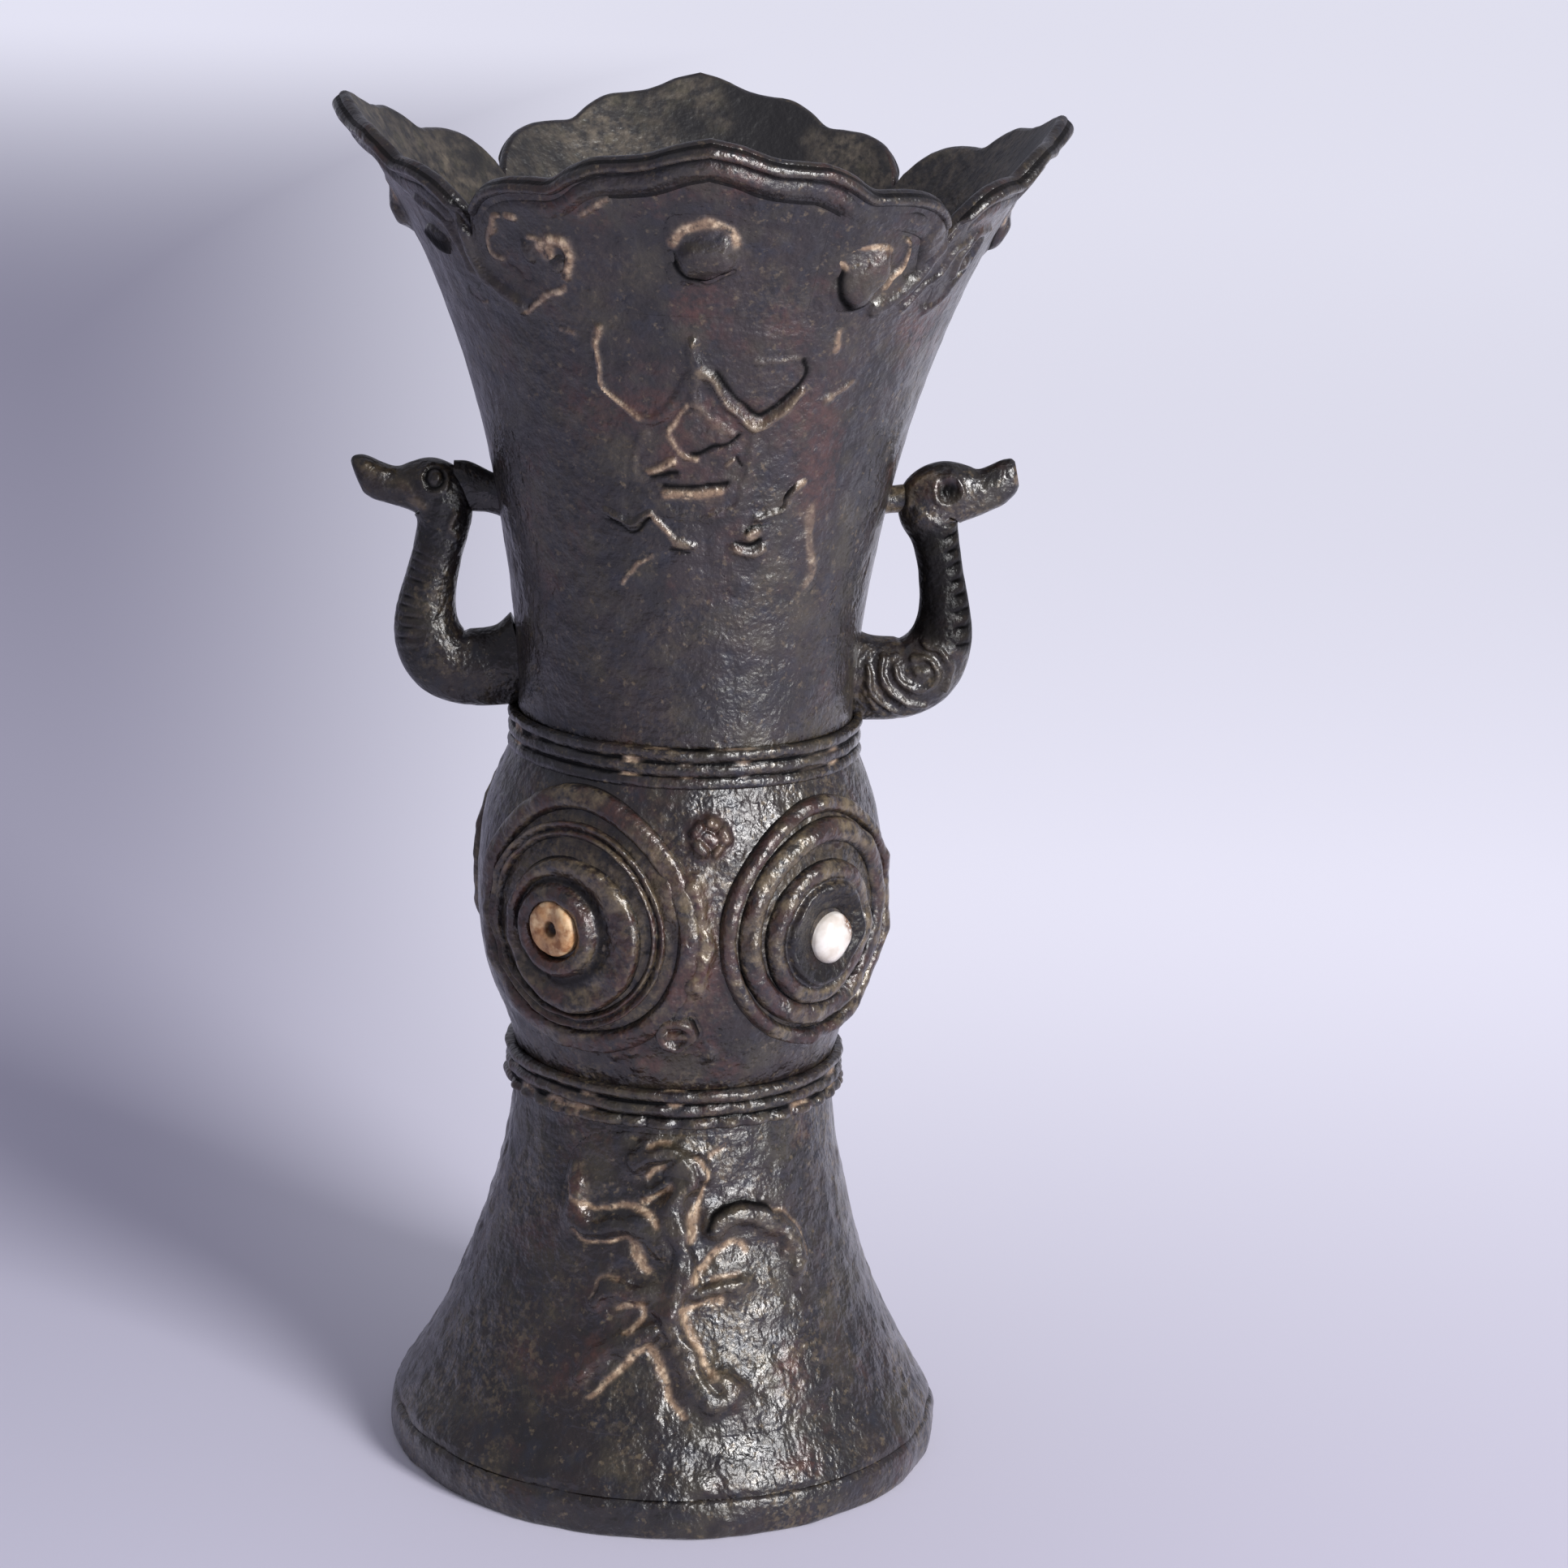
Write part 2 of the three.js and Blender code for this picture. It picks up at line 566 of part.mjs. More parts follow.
/** A bird swept along its stations as a row of ovals square to its path, grown by a margin. */
function birdSolid(stations, side, margin = 0) {
  const centres = stations.map((station) => stationCentre(station));
  const path = new THREE.CatmullRomCurve3(centres, false, 'centripetal');
  const halfWidths = stations.map(([, , halfWidth], i) => [i / (stations.length - 1), halfWidth]);
  const halfThicknesses = stations.map(([, , , half], i) => [i / (stations.length - 1), half]);
  const loops = Array.from({ length: BIRD_STEPS + 1 }, (_, i) => {
    const share = i / BIRD_STEPS;
    const centre = path.getPoint(share);
    const along = path.getTangent(share);
    const wide = between(halfWidths, share) + margin;
    const thick = between(halfThicknesses, share) + margin;
    return Array.from({ length: BIRD_SIDES }, (_, k) => {
      const turn = (2 * Math.PI * k) / BIRD_SIDES;
      const reach = wide * Math.cos(turn);
      return [side * (centre.x - along.z * reach), thick * Math.sin(turn), centre.z + along.x * reach];
    });
  });
  return toSolid(cappedLoft(loops));
}

/** The beaker's outside grown by the clearance, for cutting what meets it. */
function wallCutter() {
  const outline = rows(beakerRadius, UPPER_JOINT - COLLAR_HEIGHT, TIP_HEIGHT, CUTTER_ROWS);
  const loops = outline.map(([radius, height]) => circle(radius + CLEARANCE, height, BEAKER_STEPS * 2));
  return toSolid(cappedLoft(loops));
}

function birdGeometry(stations, side) {
  return fromSolid(birdSolid(stations, side).subtract(wallCutter()));
}

/** A short bar from the wall to the back of the bird's head. */
function strutGeometry(stations, side, height) {
  const level = UPPER_JOINT + height;
  const headCentre = stationCentre(stations[HEAD_INDEX]).x;
  const section = (reach) => Array.from({ length: BIRD_SIDES }, (_, k) => {
    const turn = (2 * Math.PI * k) / BIRD_SIDES;
    return [side * reach, STRUT_HALF_THICKNESS * Math.cos(turn), level + STRUT_HALF_HEIGHT * Math.sin(turn)];
  });
  const bar = toSolid(cappedLoft([section(beakerRadius(level) - WALL), section(headCentre)]));
  return fromSolid(bar.subtract(wallCutter()).subtract(birdSolid(stations, side, CLEARANCE)));
}

// Assembly

const vase = new THREE.Group();
vase.name = 'twin_handled_vase';

function add(name, geometry, material) {
  const mesh = new THREE.Mesh(geometry, material);
  mesh.name = name;
  vase.add(mesh);
}

function addCastings() {
  add('foot', footGeometry(), bronze);
  add('foot_band', footBandGeometry(), bronze);
  add('floor_disc', floorGeometry(), patinatedBronze);
  add('knop', knopGeometry(), bronze);
  add('beaker', beakerGeometry(), bronze);
  add('lower_collar', collarGeometry(FOOT_HEIGHT, LOWER_NECK_RADIUS), wornBronze);
  add('upper_collar', collarGeometry(UPPER_JOINT, UPPER_NECK_RADIUS), wornBronze);
}

function addRimOrnament() {
  const sides = ['front', 'right', 'back', 'left'];
  sides.forEach((side, i) => {
    const petal = i * PETAL_ANGLE;
    const corner = petal + PETAL_ANGLE / 2;
    add(`edging_${side}`, edgingGeometry(petal), wornBronze);
    const petalBoss = board(beakerRadius, petal, TIP_HEIGHT - PETAL_BOSS_DROP);
    add(`petal_boss_${side}`, boss(petalBoss, PETAL_BOSS_RADIUS, BOSS_HEIGHT), wornBronze);
    const next = sides[(i + 1) % PETAL_COUNT];
    add(`scroll_${side}_${next}`, cornerScrollGeometry(corner), wornBronze);
    const bossHeight = rimHeight(corner) + SCROLL_RISE - CORNER_BOSS_DROP;
    const offset = THREE.MathUtils.radToDeg(CORNER_BOSS_OFFSET / beakerRadius(bossHeight));
    const before = board(beakerRadius, corner - offset, bossHeight);
    const after = board(beakerRadius, corner + offset, bossHeight);
    add(`corner_boss_${side}_${next}_1`, boss(before, CORNER_BOSS_RADIUS, BOSS_HEIGHT), wornBronze);
    add(`corner_boss_${side}_${next}_2`, boss(after, CORNER_BOSS_RADIUS, BOSS_HEIGHT), wornBronze);
  });
}

function addEye(name, azimuth, inlay) {
  const at = board(knopRadius, azimuth, FOOT_HEIGHT + EYE_HEIGHT);
  add(`${name}_outer_ring`, ring(at, OUTER_RING_RADIUS, OUTER_RING_WIDTH, RING_HEIGHT), wornBronze);
  add(`${name}_middle_ring`, ring(at, MIDDLE_RING_RADIUS, MIDDLE_RING_WIDTH, RING_HEIGHT), wornBronze);
  add(`${name}_socket`, socketGeometry(at), wornBronze);
  add(`${name}_pupil`, boss(at, PUPIL_RADIUS, PUPIL_HEIGHT), inlay);
}

/** The front and the back of the vase carry the same ornament, half a turn apart. */
function addFaceOrnament(face, turn) {
  addEye(`${face}_left_eye`, turn + LEFT_EYE_AZIMUTH, bone);
  addEye(`${face}_right_eye`, turn + RIGHT_EYE_AZIMUTH, shell);
  for (const [name, [across, up]] of Object.entries(KNOP_BOSSES)) {
    const azimuth = turn + THREE.MathUtils.radToDeg(across / KNOP_RADIUS);
    const at = board(knopRadius, azimuth, FOOT_HEIGHT + EYE_HEIGHT + up);
    add(`${face}_${name}_knop_boss`, boss(at, KNOP_BOSS_RADIUS, KNOP_BOSS_HEIGHT), wornBronze);
  }
  const brow = board(beakerRadius, turn, UPPER_JOINT + MASK_HEIGHT, MASK_UNIT);
  const maskLines = [MASK_BROWS, MASK_NOSE, MASK_CREST, MASK_FACE, MASK_MOUTH, MASK_CHIN, MASK_BRIDGE];
  const mask = maskLines.map((line) => stroke(brow, line, MASK_LINE_WIDTH, MASK_RELIEF));
  add(`${face}_mask`, joined(mask), wornBronze);
  add(`${face}_left_whisker`, stroke(brow, LEFT_WHISKER, MASK_LINE_WIDTH, MASK_RELIEF), wornBronze);
  add(`${face}_right_whisker`, stroke(brow, RIGHT_WHISKER, MASK_LINE_WIDTH, MASK_RELIEF), wornBronze);
  const chest = board(footRadius, turn, CREATURE_HEIGHT, CREATURE_UNIT);
  const limbs = CREATURE_LINES.map(({ line, width }) => stroke(chest, line, width, CREATURE_RELIEF));
  add(`${face}_creature`, joined(limbs), wornBronze);
}

function addHandles() {
  add('right_bird', birdGeometry(RIGHT_BIRD, 1), bronze);
  add('left_bird', birdGeometry(LEFT_BIRD, -1), bronze);
  add('right_strut', strutGeometry(RIGHT_BIRD, 1, RIGHT_STRUT_HEIGHT), wornBronze);
  add('left_strut', strutGeometry(LEFT_BIRD, -1, LEFT_STRUT_HEIGHT), wornBronze);
}

addCastings();
addRimOrnament();
addFaceOrnament('front', 0);
addFaceOrnament('back', 180);
addHandles();

export default vase;
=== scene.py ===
# A twin-handled bronze vase: a flared foot, a round knop with inlaid eyes, a trumpet beaker with a rim of
# four petals, and two bird handles. Sizes are in millimetres in the frame of the CAD part, +Z up with the
# front towards -Y, and azimuths grow from the front towards +X. A mesh is put into metres as it is made.
import math

import bpy
import numpy as np
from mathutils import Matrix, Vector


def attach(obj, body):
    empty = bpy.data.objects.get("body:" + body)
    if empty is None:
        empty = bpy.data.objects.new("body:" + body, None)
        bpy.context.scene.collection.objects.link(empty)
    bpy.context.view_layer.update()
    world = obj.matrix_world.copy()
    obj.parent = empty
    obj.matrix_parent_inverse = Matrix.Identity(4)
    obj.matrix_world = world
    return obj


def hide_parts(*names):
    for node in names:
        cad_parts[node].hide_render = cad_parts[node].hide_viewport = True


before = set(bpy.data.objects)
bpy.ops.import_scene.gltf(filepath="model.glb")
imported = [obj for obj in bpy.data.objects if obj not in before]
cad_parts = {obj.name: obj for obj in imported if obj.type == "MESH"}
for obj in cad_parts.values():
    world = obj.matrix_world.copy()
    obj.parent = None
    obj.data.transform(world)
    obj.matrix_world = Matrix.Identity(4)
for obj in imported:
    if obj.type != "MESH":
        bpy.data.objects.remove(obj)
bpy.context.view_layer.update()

# Foot
# The real foot is a hollow flare of bronze, gone nearly black with age. It was cast over a core, and its
# skin is dented, pitted and waxed. It carries the knop, and a hoop stiffens its lower edge.

MM = 0.001
FOOT_TOP = 80
FOOT_EDGE_RADIUS = 55.4
LOWER_NECK_RADIUS = 31.8
FLARE_TOP = 76
FLARE_BOTTOM = 8
CASTING_WALL = 3


def foot_wall(height):
    """Radius of the neck plus the flare times 0.66 s^1.31 + 0.34 s^3.24, with s the share of the way down."""
    share = np.clip((FLARE_TOP - height) / (FLARE_TOP - FLARE_BOTTOM), 0, 1)
    opening = 0.66 * share**1.31 + 0.34 * share**3.24
    return LOWER_NECK_RADIUS + (FOOT_EDGE_RADIUS - LOWER_NECK_RADIUS) * opening


def round_axis(radius, turn, height):
    """Places at a radius from the vase's axis, at a turn from the front, and at a height."""
    return np.stack(np.broadcast_arrays(radius * np.sin(turn), -radius * np.cos(turn), height), -1)


def off_wall(wall, turn, height, lift):
    """The place a lift off a turned wall, square to it: out by lift / l and down by lift times slope / l,
    where l is the length of the wall for one millimetre of height."""
    slope = wall(height + 0.5) - wall(height - 0.5)
    length = np.hypot(1, slope)
    return round_axis(wall(height) + lift / length, turn, height - lift * slope / length)


def lumps(points, grain, seed):
    """Smooth random lumps from -1 to 1: a random number on each corner of a lattice of cubes one grain
    wide, eased between the corners with 3 t^2 - 2 t^3."""
    size = 32
    table = np.random.default_rng(seed).random((size, size, size)) * 2 - 1
    place = points / grain
    cell = np.floor(place).astype(int)
    part = place - cell
    part = part * part * (3 - 2 * part)
    total = 0
    for corner in np.ndindex(2, 2, 2):
        weight = np.where(np.array(corner) == 1, part, 1 - part).prod(-1)
        x, y, z = np.moveaxis((cell + corner) % size, -1, 0)
        total = total + weight * table[x, y, z]
    return total


def ease(share):
    """0 below 0, 1 above 1, and 3 t^2 - 2 t^3 in between."""
    share = np.clip(share, 0, 1)
    return share * share * (3 - 2 * share)


def skin(points, roughness=1.0):
    """Lift of the old cast skin: dents 11 mm and facets 2.8 mm across, with crusts that are twice as rough
    in places 24 mm across, less small pits."""
    crust = 0.6 + 0.8 * ease(0.5 + lumps(points, 24, 3))
    dents = 0.22 * lumps(points, 11, 1)
    facets = 0.13 * lumps(points, 2.8, 2) + 0.06 * lumps(points, 1.6, 5)
    pits = 0.5 * np.clip(lumps(points, 2.1, 4) - 0.55, 0, 1)
    return roughness * (dents + crust * (facets - pits))


def turn_steps(count):
    """Even steps round a whole turn, in radians."""
    return np.linspace(0, 2 * math.pi, count, endpoint=False)


def circles(outline, turns):
    """Rows of a turned surface: each point of the outline, a radius and a height, carried round a turn."""
    radius, height = np.asarray(outline, float).T[..., None]
    return round_axis(radius, turns, height)


def grid_faces(rows, columns, rows_close, columns_close=True):
    """Four-cornered faces between neighbouring rows and columns, which close on themselves where they say."""
    row = np.arange(rows if rows_close else rows - 1)[:, None]
    column = np.arange(columns if columns_close else columns - 1)[None]
    above, beside = (row + 1) % rows, (column + 1) % columns
    here, over = row * columns, above * columns
    corners = [here + column, here + beside, over + beside, over + column]
    return np.stack(np.broadcast_arrays(*corners), -1).reshape(-1, 4)


def hoop(rows):
    """A closed ring: rows and columns both close on themselves."""
    return rows.reshape(-1, 3), [grid_faces(*rows.shape[:2], True)]


def capped(rows):
    """A tube closed at both ends by a pole at the middle of its end row."""
    count, columns = rows.shape[:2]
    points = np.vstack([rows.reshape(-1, 3), rows[0].mean(0), rows[-1].mean(0)])
    here = np.arange(columns)
    beside = (here + 1) % columns
    last = (count - 1) * columns
    first_pole = np.full(columns, count * columns)
    start = np.stack([beside, here, first_pole], -1)
    end = np.stack([last + here, last + beside, first_pole + 1], -1)
    return points, [grid_faces(count, columns, False), start, end]


def outward(points, faces):
    """The faces turned round if six times the volume that they hold, the sum of a . (b x c), is negative."""
    corners = [points[part] for part in faces]
    volume = sum(
        np.einsum("ij,ij->", part[:, 0], np.cross(part[:, i], part[:, i + 1]))
        for part in corners
        for i in range(1, part.shape[1] - 1)
    )
    return faces if volume > 0 else [part[:, ::-1] for part in faces]


def piece(name, shape, material, nodes, marks=None):
    """A mesh object from points in mm and faces, with its marks as point attributes, in its nodes' place."""
    points, faces = shape
    faces = outward(points, faces)
    corners = np.concatenate([part.ravel() for part in faces])
    sizes = np.concatenate([np.full(len(part), part.shape[1]) for part in faces])
    mesh = bpy.data.meshes.new(name)
    mesh.vertices.add(len(points))
    mesh.vertices.foreach_set("co", (points * MM).astype(np.float32).ravel())
    mesh.loops.add(len(corners))
    mesh.loops.foreach_set("vertex_index", corners.astype(np.int32))
    mesh.polygons.add(len(sizes))
    mesh.polygons.foreach_set("loop_start", (np.cumsum(sizes) - sizes).astype(np.int32))
    mesh.update(calc_edges=True)
    mesh.validate()
    mesh.polygons.foreach_set("use_smooth", np.ones(len(mesh.polygons), bool))
    mesh.set_sharp_from_angle(angle=math.radians(62))
    for mark, values in (marks or {}).items():
        filled = np.zeros(len(points), np.float32)
        filled[: values.size] = values.ravel()
        mesh.attributes.new(mark, "FLOAT", "POINT").data.foreach_set("value", filled)
    mesh.materials.append(material)
    obj = bpy.data.objects.new(name, mesh)
    bpy.context.scene.collection.objects.link(obj)
    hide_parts(*nodes)
    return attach(obj, "root")


def linear(code):
    """A colour from sRGB hex to linear: c / 12.92 up to 0.04045, above it ((c + 0.055) / 1.055)^2.4."""
    parts = np.array([int(code[i : i + 2], 16) for i in (1, 3, 5)]) / 255
    parts = np.where(parts <= 0.04045, parts / 12.92, ((parts + 0.055) / 1.055) ** 2.4)
    return (*parts.tolist(), 1)


def give(node, sockets):
    """Gives each named socket of a node a number, a colour written as hex, or another node's output."""
    for name, given in dict(sockets).items():
        if isinstance(given, bpy.types.NodeSocket):
            node.id_data.links.new(given, node.inputs[name])
        else:
            node.inputs[name].default_value = linear(given) if isinstance(given, str) else given


def add_node(tree, kind, properties=(), sockets=()):
    """Adds a node with its properties, and gives its sockets their values and links."""
    node = tree.nodes.new(kind)
    for name, value in dict(properties).items():
        setattr(node, name, value)
    give(node, sockets)
    return node


def new_material(name):
    """An empty node tree with its Principled shader joined to the output, and the object's coordinates."""
    material = bpy.data.materials.new(name)
    material.use_nodes = True
    tree = material.node_tree
    tree.nodes.clear()
    shader = add_node(tree, "ShaderNodeBsdfPrincipled")
    add_node(tree, "ShaderNodeOutputMaterial", sockets={"Surface": shader.outputs[0]})
    place = add_node(tree, "ShaderNodeTexCoord").outputs["Object"]
    return material, tree, shader, place


def per_metre(size):
    """A pattern's scale, in repeats to the metre, from the size in mm of what it repeats."""
    return 1000 / size


# Cast bronze with a waxed brown-black skin. The eye gets a nearly black metal with a soft broad sheen, red
# and olive patches, sparks of light on its crusts, tan earth left in the hollows of the ornament, and
# painted shade in its grooves and pits.
BLACK_BROWN = "#1c1818"
WARM_BROWN = "#2b2221"
BLUE_BLACK = "#22222a"
CUPRITE_RED = "#4d2f27"
OLIVE_CRUST = "#3d372b"
TAN_EARTH = "#8a725c"
PALE_EARTH = "#ccb497"
RUBBED_KHAKI = "#75664f"
# Black for painted shade in grooves, pits, moats and the lows of the rings, and for a darker tone on the
# birds, the eyes' cups and the left strut
DARK_TONE_AND_PAINTED_SHADE = "#0b0a0a"
# The patina inside the beaker
PATINA_GREY = "#353231"
PATINA_TAN = "#6f6558"
PATINA_OLIVE = "#57533f"
PATINA_DARK = "#222021"


def clouds(size, low, high, seed, detail=3):
    """How far a cloudy pattern, with clouds of a size in mm, is past low on the way to high."""
    pattern = {"Scale": per_metre(size), "Detail": detail, "Roughness": 0.6, "W": seed, "Vector": place}
    cloudy = add_node(tree, "ShaderNodeTexNoise", {"noise_dimensions": "4D"}, pattern).outputs[0]
    limits = {"Value": cloudy, "From Min": low, "From Max": high}
    return add_node(tree, "ShaderNodeMapRange", (), limits).outputs[0]


def weathered(colour, layers):
    """A colour with others laid over it in turn, each as thick as the product of its factors says."""
    for over, share, *factors in layers:
        for factor in factors:
            product = {0: share, 1: factor}
            share = add_node(tree, "ShaderNodeMath", {"operation": "MULTIPLY"}, product).outputs[0]
        colours = {0: share, 6: colour, 7: over}
        mixed = add_node(tree, "ShaderNodeMix", {"data_type": "RGBA", "clamp_factor": True}, colours)
        colour = mixed.outputs[2]
    return colour


bronzes = []
# Each skin's depth of crusts and of grain, in mm, and its shares of khaki specks and mottles
BRONZE_SKINS = [("crusty_cast_bronze", 1.0, 0.16, 0.55, 0.45), ("smooth_cast_bronze", 0.75, 0.2, 0.5, 0.15)]
for name, crust, grain, specks, mottles in BRONZE_SKINS:
    material, tree, shader, place = new_material(name)
    earth, rub, shade, patina, red = (
        add_node(tree, "ShaderNodeAttribute", {"attribute_name": mark}).outputs["Fac"]
        for mark in ("earth", "rub", "shade", "patina", "red")
    )
    inside = [
        (PATINA_TAN, clouds(2.2, 0.42, 0.66, 8, 5)),
        (PATINA_OLIVE, clouds(5, 0.52, 0.66, 9), 0.4),
        (PATINA_DARK, clouds(30, 0.45, 0.58, 10)),
    ]
    soil = [(PALE_EARTH, clouds(1.7, 0.48, 0.66, 11))]
    layers = [
        (WARM_BROWN, clouds(13, 0.42, 0.62, 1)),
        (BLUE_BLACK, clouds(4, 0.5, 0.7, 2)),
        (CUPRITE_RED, clouds(19, 0.54, 0.68, 3, 4), clouds(1.6, 0.35, 0.6, 14)),
        (OLIVE_CRUST, clouds(9, 0.5, 0.66, 4, 4), 0.75),
        (RUBBED_KHAKI, clouds(1.5, 0.6, 0.7, 5), specks),
        (RUBBED_KHAKI, clouds(1.3, 0.48, 0.6, 17, 4), clouds(17, 0.48, 0.6, 18), mottles),
        (CUPRITE_RED, clouds(1.8, 0.35, 0.6, 6), 0.7, red),
        (RUBBED_KHAKI, clouds(1.9, 0.4, 0.62, 7, 4), rub),
        (weathered(PATINA_GREY, inside), patina),
        (weathered(TAN_EARTH, soil), clouds(1.5, 0.3, 0.48, 12, 4), earth),
        # Last the painted shade, which also darkens the tone of some parts
        (DARK_TONE_AND_PAINTED_SHADE, shade),
    ]
    gloss = {"Value": clouds(5, 0.35, 0.65, 13), "To Min": 0.24, "To Max": 0.44}
    rough = add_node(tree, "ShaderNodeMapRange", (), gloss).outputs[0]
    # Earth, patina and the painted shade are dull, each up to its own roughness
    for dull, least in ((earth, 0.7), (patina, 0.6), (shade, 0.8)):
        dulled = add_node(tree, "ShaderNodeMath", {"operation": "MULTIPLY"}, {0: dull, 1: least}).outputs[0]
        rough = add_node(tree, "ShaderNodeMath", {"operation": "MAXIMUM"}, {0: rough, 1: dulled}).outputs[0]
    shine = add_node(tree, "ShaderNodeMath", {"operation": "MULTIPLY_ADD"}, {0: shade, 1: -0.5, 2: 0.5})
    waxed = add_node(tree, "ShaderNodeMath", {"operation": "SUBTRACT", "use_clamp": True}, {0: 1, 1: rough})
    bumps = {"Strength": 1}
    for size, seed, detail, depth in ((3.4, 15, 2.5, crust), (1, 16, 2, grain)):
        bumps |= {"Height": clouds(size, 0, 1, seed, detail), "Distance": depth * MM}
        bumps["Normal"] = add_node(tree, "ShaderNodeBump", (), bumps).outputs[0]
    give(
        shader,
        {
            "Base Color": weathered(BLACK_BROWN, layers),
            "Metallic": 0.2,
            "Roughness": rough,
            "Specular IOR Level": shine.outputs[0],
            "Coat Weight": waxed.outputs[0],
            "Coat Roughness": 0.31,
            "Normal": bumps["Normal"],
            "Coat Normal": bumps["Normal"],
        },
    )
    bronzes.append(material)
crusty_bronze, smooth_bronze = bronzes

FOOT_ROUGHNESS = 1.25
REBATE_RADIUS = 53.1
REBATE_TOP = 8.3
LEDGE_RADIUS = 26.3
LEDGE_BOTTOM = 77
foot_turns = turn_steps(420)
foot_heights = np.concatenate([[REBATE_TOP, 8.5], np.linspace(8.9, FLARE_TOP, 92)])[:, None]
foot_places = off_wall(foot_wall, foot_turns, foot_heights, 0)
foot_edge = (-0.6 - 0.7 * lumps(foot_places, 8, 6)) * (1 - ease((foot_heights - REBATE_TOP) / 1.2))
foot_skin = skin(foot_places, FOOT_ROUGHNESS)
foot_outside = off_wall(foot_wall, foot_turns, foot_heights, foot_skin + foot_edge)
foot_top = circles(
    [
        [LOWER_NECK_RADIUS, FOOT_TOP],
        [LEDGE_RADIUS, FOOT_TOP],
        [LEDGE_RADIUS, LEDGE_BOTTOM],
        [LOWER_NECK_RADIUS - CASTING_WALL, LEDGE_BOTTOM],
    ],
    foot_turns,
)
bore_heights = np.linspace(FLARE_TOP - 1, REBATE_TOP, 24)[:, None]
foot_bore = off_wall(foot_wall, foot_turns, bore_heights, -CASTING_WALL)
foot_bottom = circles(
    [[REBATE_RADIUS - CASTING_WALL, 0], [REBATE_RADIUS, 0], [REBATE_RADIUS, REBATE_TOP]], foot_turns
)
piece(
    "foot_casting",
    hoop(np.concatenate([foot_outside, foot_top, foot_bore, foot_bottom])),
    crusty_bronze,
    ["foot"],
)

# Foot band
# The real band is a hoop of bronze round the lower edge of the foot, 8 mm high. It was cast with the foot
# and finished with a file, and a groove sets it off from the flare above.

band_rows = [
    [53.4, 0.2], [53.8, 0], [54.6, 0], [55.3, 0.5], [55.6, 1.4], [55.9, 3], [55.9, 5], [55.7, 6.4],
    [55.3, 7.4], [54.6, 7.95], [53.8, 8], [53.4, 7.6], [53.4, 4],
]


def smooth_line(points, fineness=8):
    """A line through drawn points, whose every span is the cubic that leans at its ends along the line
    between its neighbours: half of 2b + (c-a)t + (2a-5b+4c-d)t^2 + (3b-a-3c+d)t^3."""
    points = np.asarray(points, float)
    ends = np.vstack([2 * points[0] - points[1], points, 2 * points[-1] - points[-2]])
    a, b, c, d = (ends[k : len(ends) - 3 + k, None] for k in range(4))
    t = np.linspace(0, 1, fineness, endpoint=False)[None, :, None]
    spans = (2 * b + (c - a) * t + (2 * a - 5 * b + 4 * c - d) * t**2 + (3 * b - a - 3 * c + d) * t**3) / 2
    return np.vstack([spans.reshape(-1, points.shape[1]), points[-1:]])


band = circles(smooth_line(band_rows, 3), foot_turns)
on_outside = ease((np.hypot(band[..., 0], band[..., 1]) - 54) / 1.2)[..., None]
outwards = band * [1, 1, 0] / np.hypot(band[..., 0], band[..., 1])[..., None]
band = band + outwards * on_outside * (skin(band, 1.1) + 0.25 * lumps(band, 7, 7))[..., None]
piece("foot_band_hoop", hoop(band), crusty_bronze, ["foot_band"])

# Floor disc
# The real floor is a cast disc let into the top of the foot, which closes the vessel. It lies in the dark
# at the bottom of the vase, under the same dull green and tan patina as the inside of the beaker.

FLOOR_BOTTOM = 80
disc_rim = [
    [2, 0], [12, 0], [24, 0], [28.1, 0.1], [28.5, 0.5],
    [28.5, 2.5], [28.1, 2.9], [24, 3], [12, 3], [2, 3],
]
disc = circles(disc_rim, turn_steps(96)) + [0, 0, FLOOR_BOTTOM]
disc_shape = capped(disc)
piece(
    "floor_disc_plate",
    disc_shape,
    crusty_bronze,
    ["floor_disc"],
    {"patina": np.ones(len(disc_shape[0]))},
)

# Creature on the foot
# The real creature is a long-necked dragon cast in low relief on the front of the foot, and tan earth
# fills the grooves along its limbs. The back, which the photo hides, gets the same one.


def trace(across, up, line):
    """Distance of each place from a drawn line: the least of its distances from the line's short pieces."""
    start, step = line[:-1], np.diff(line, axis=0)
    x, y = across[..., None] - start[:, 0], up[..., None] - start[:, 1]
    share = np.clip((x * step[:, 0] + y * step[:, 1]) / (step**2).sum(-1), 0, 1)
    return np.sqrt(((x - share * step[:, 0]) ** 2 + (y - share * step[:, 1]) ** 2).min(-1))


def carve(across, up, strokes):
    """Lift and marks of a drawing. A stroke is its half width, height, earth, rub and points, and its share
    at a distance is 1 / (1 + (distance / half width)^4). Ridges keep the highest, grooves the deepest, and a
    groove without earth is darkened with painted shade. Lines wander by 0.4 mm and their widths vary by two
    fifths, as in hand work."""
    across, up = np.broadcast_arrays(across, up)
    here = np.stack([across, up, 0 * up], -1)
    across, up = (axis + 0.4 * lumps(here, 2.6, seed) for axis, seed in ((across, 61), (up, 62)))
    thickness = 1 + 0.4 * lumps(here, 3.4, 63)
    ridge, groove, earth, rub, shade = (np.zeros(across.shape) for _ in range(5))
    for half, height, dusty, rubbed, line in strokes:
        apart = trace(across, up, smooth_line(line)) / (half * thickness)
        share = 1 / (1 + apart**4)
        if height > 0:
            ridge = np.maximum(ridge, height * share)
        else:
            groove = np.minimum(groove, height * share)
            shade = np.maximum(shade, share * (dusty == 0))
        earth = np.maximum(earth, dusty / (1 + (1.05 * apart) ** 6))
        rub = np.maximum(rub, rubbed * share)
    return ridge + groove, {"earth": earth, "rub": rub, "shade": shade}


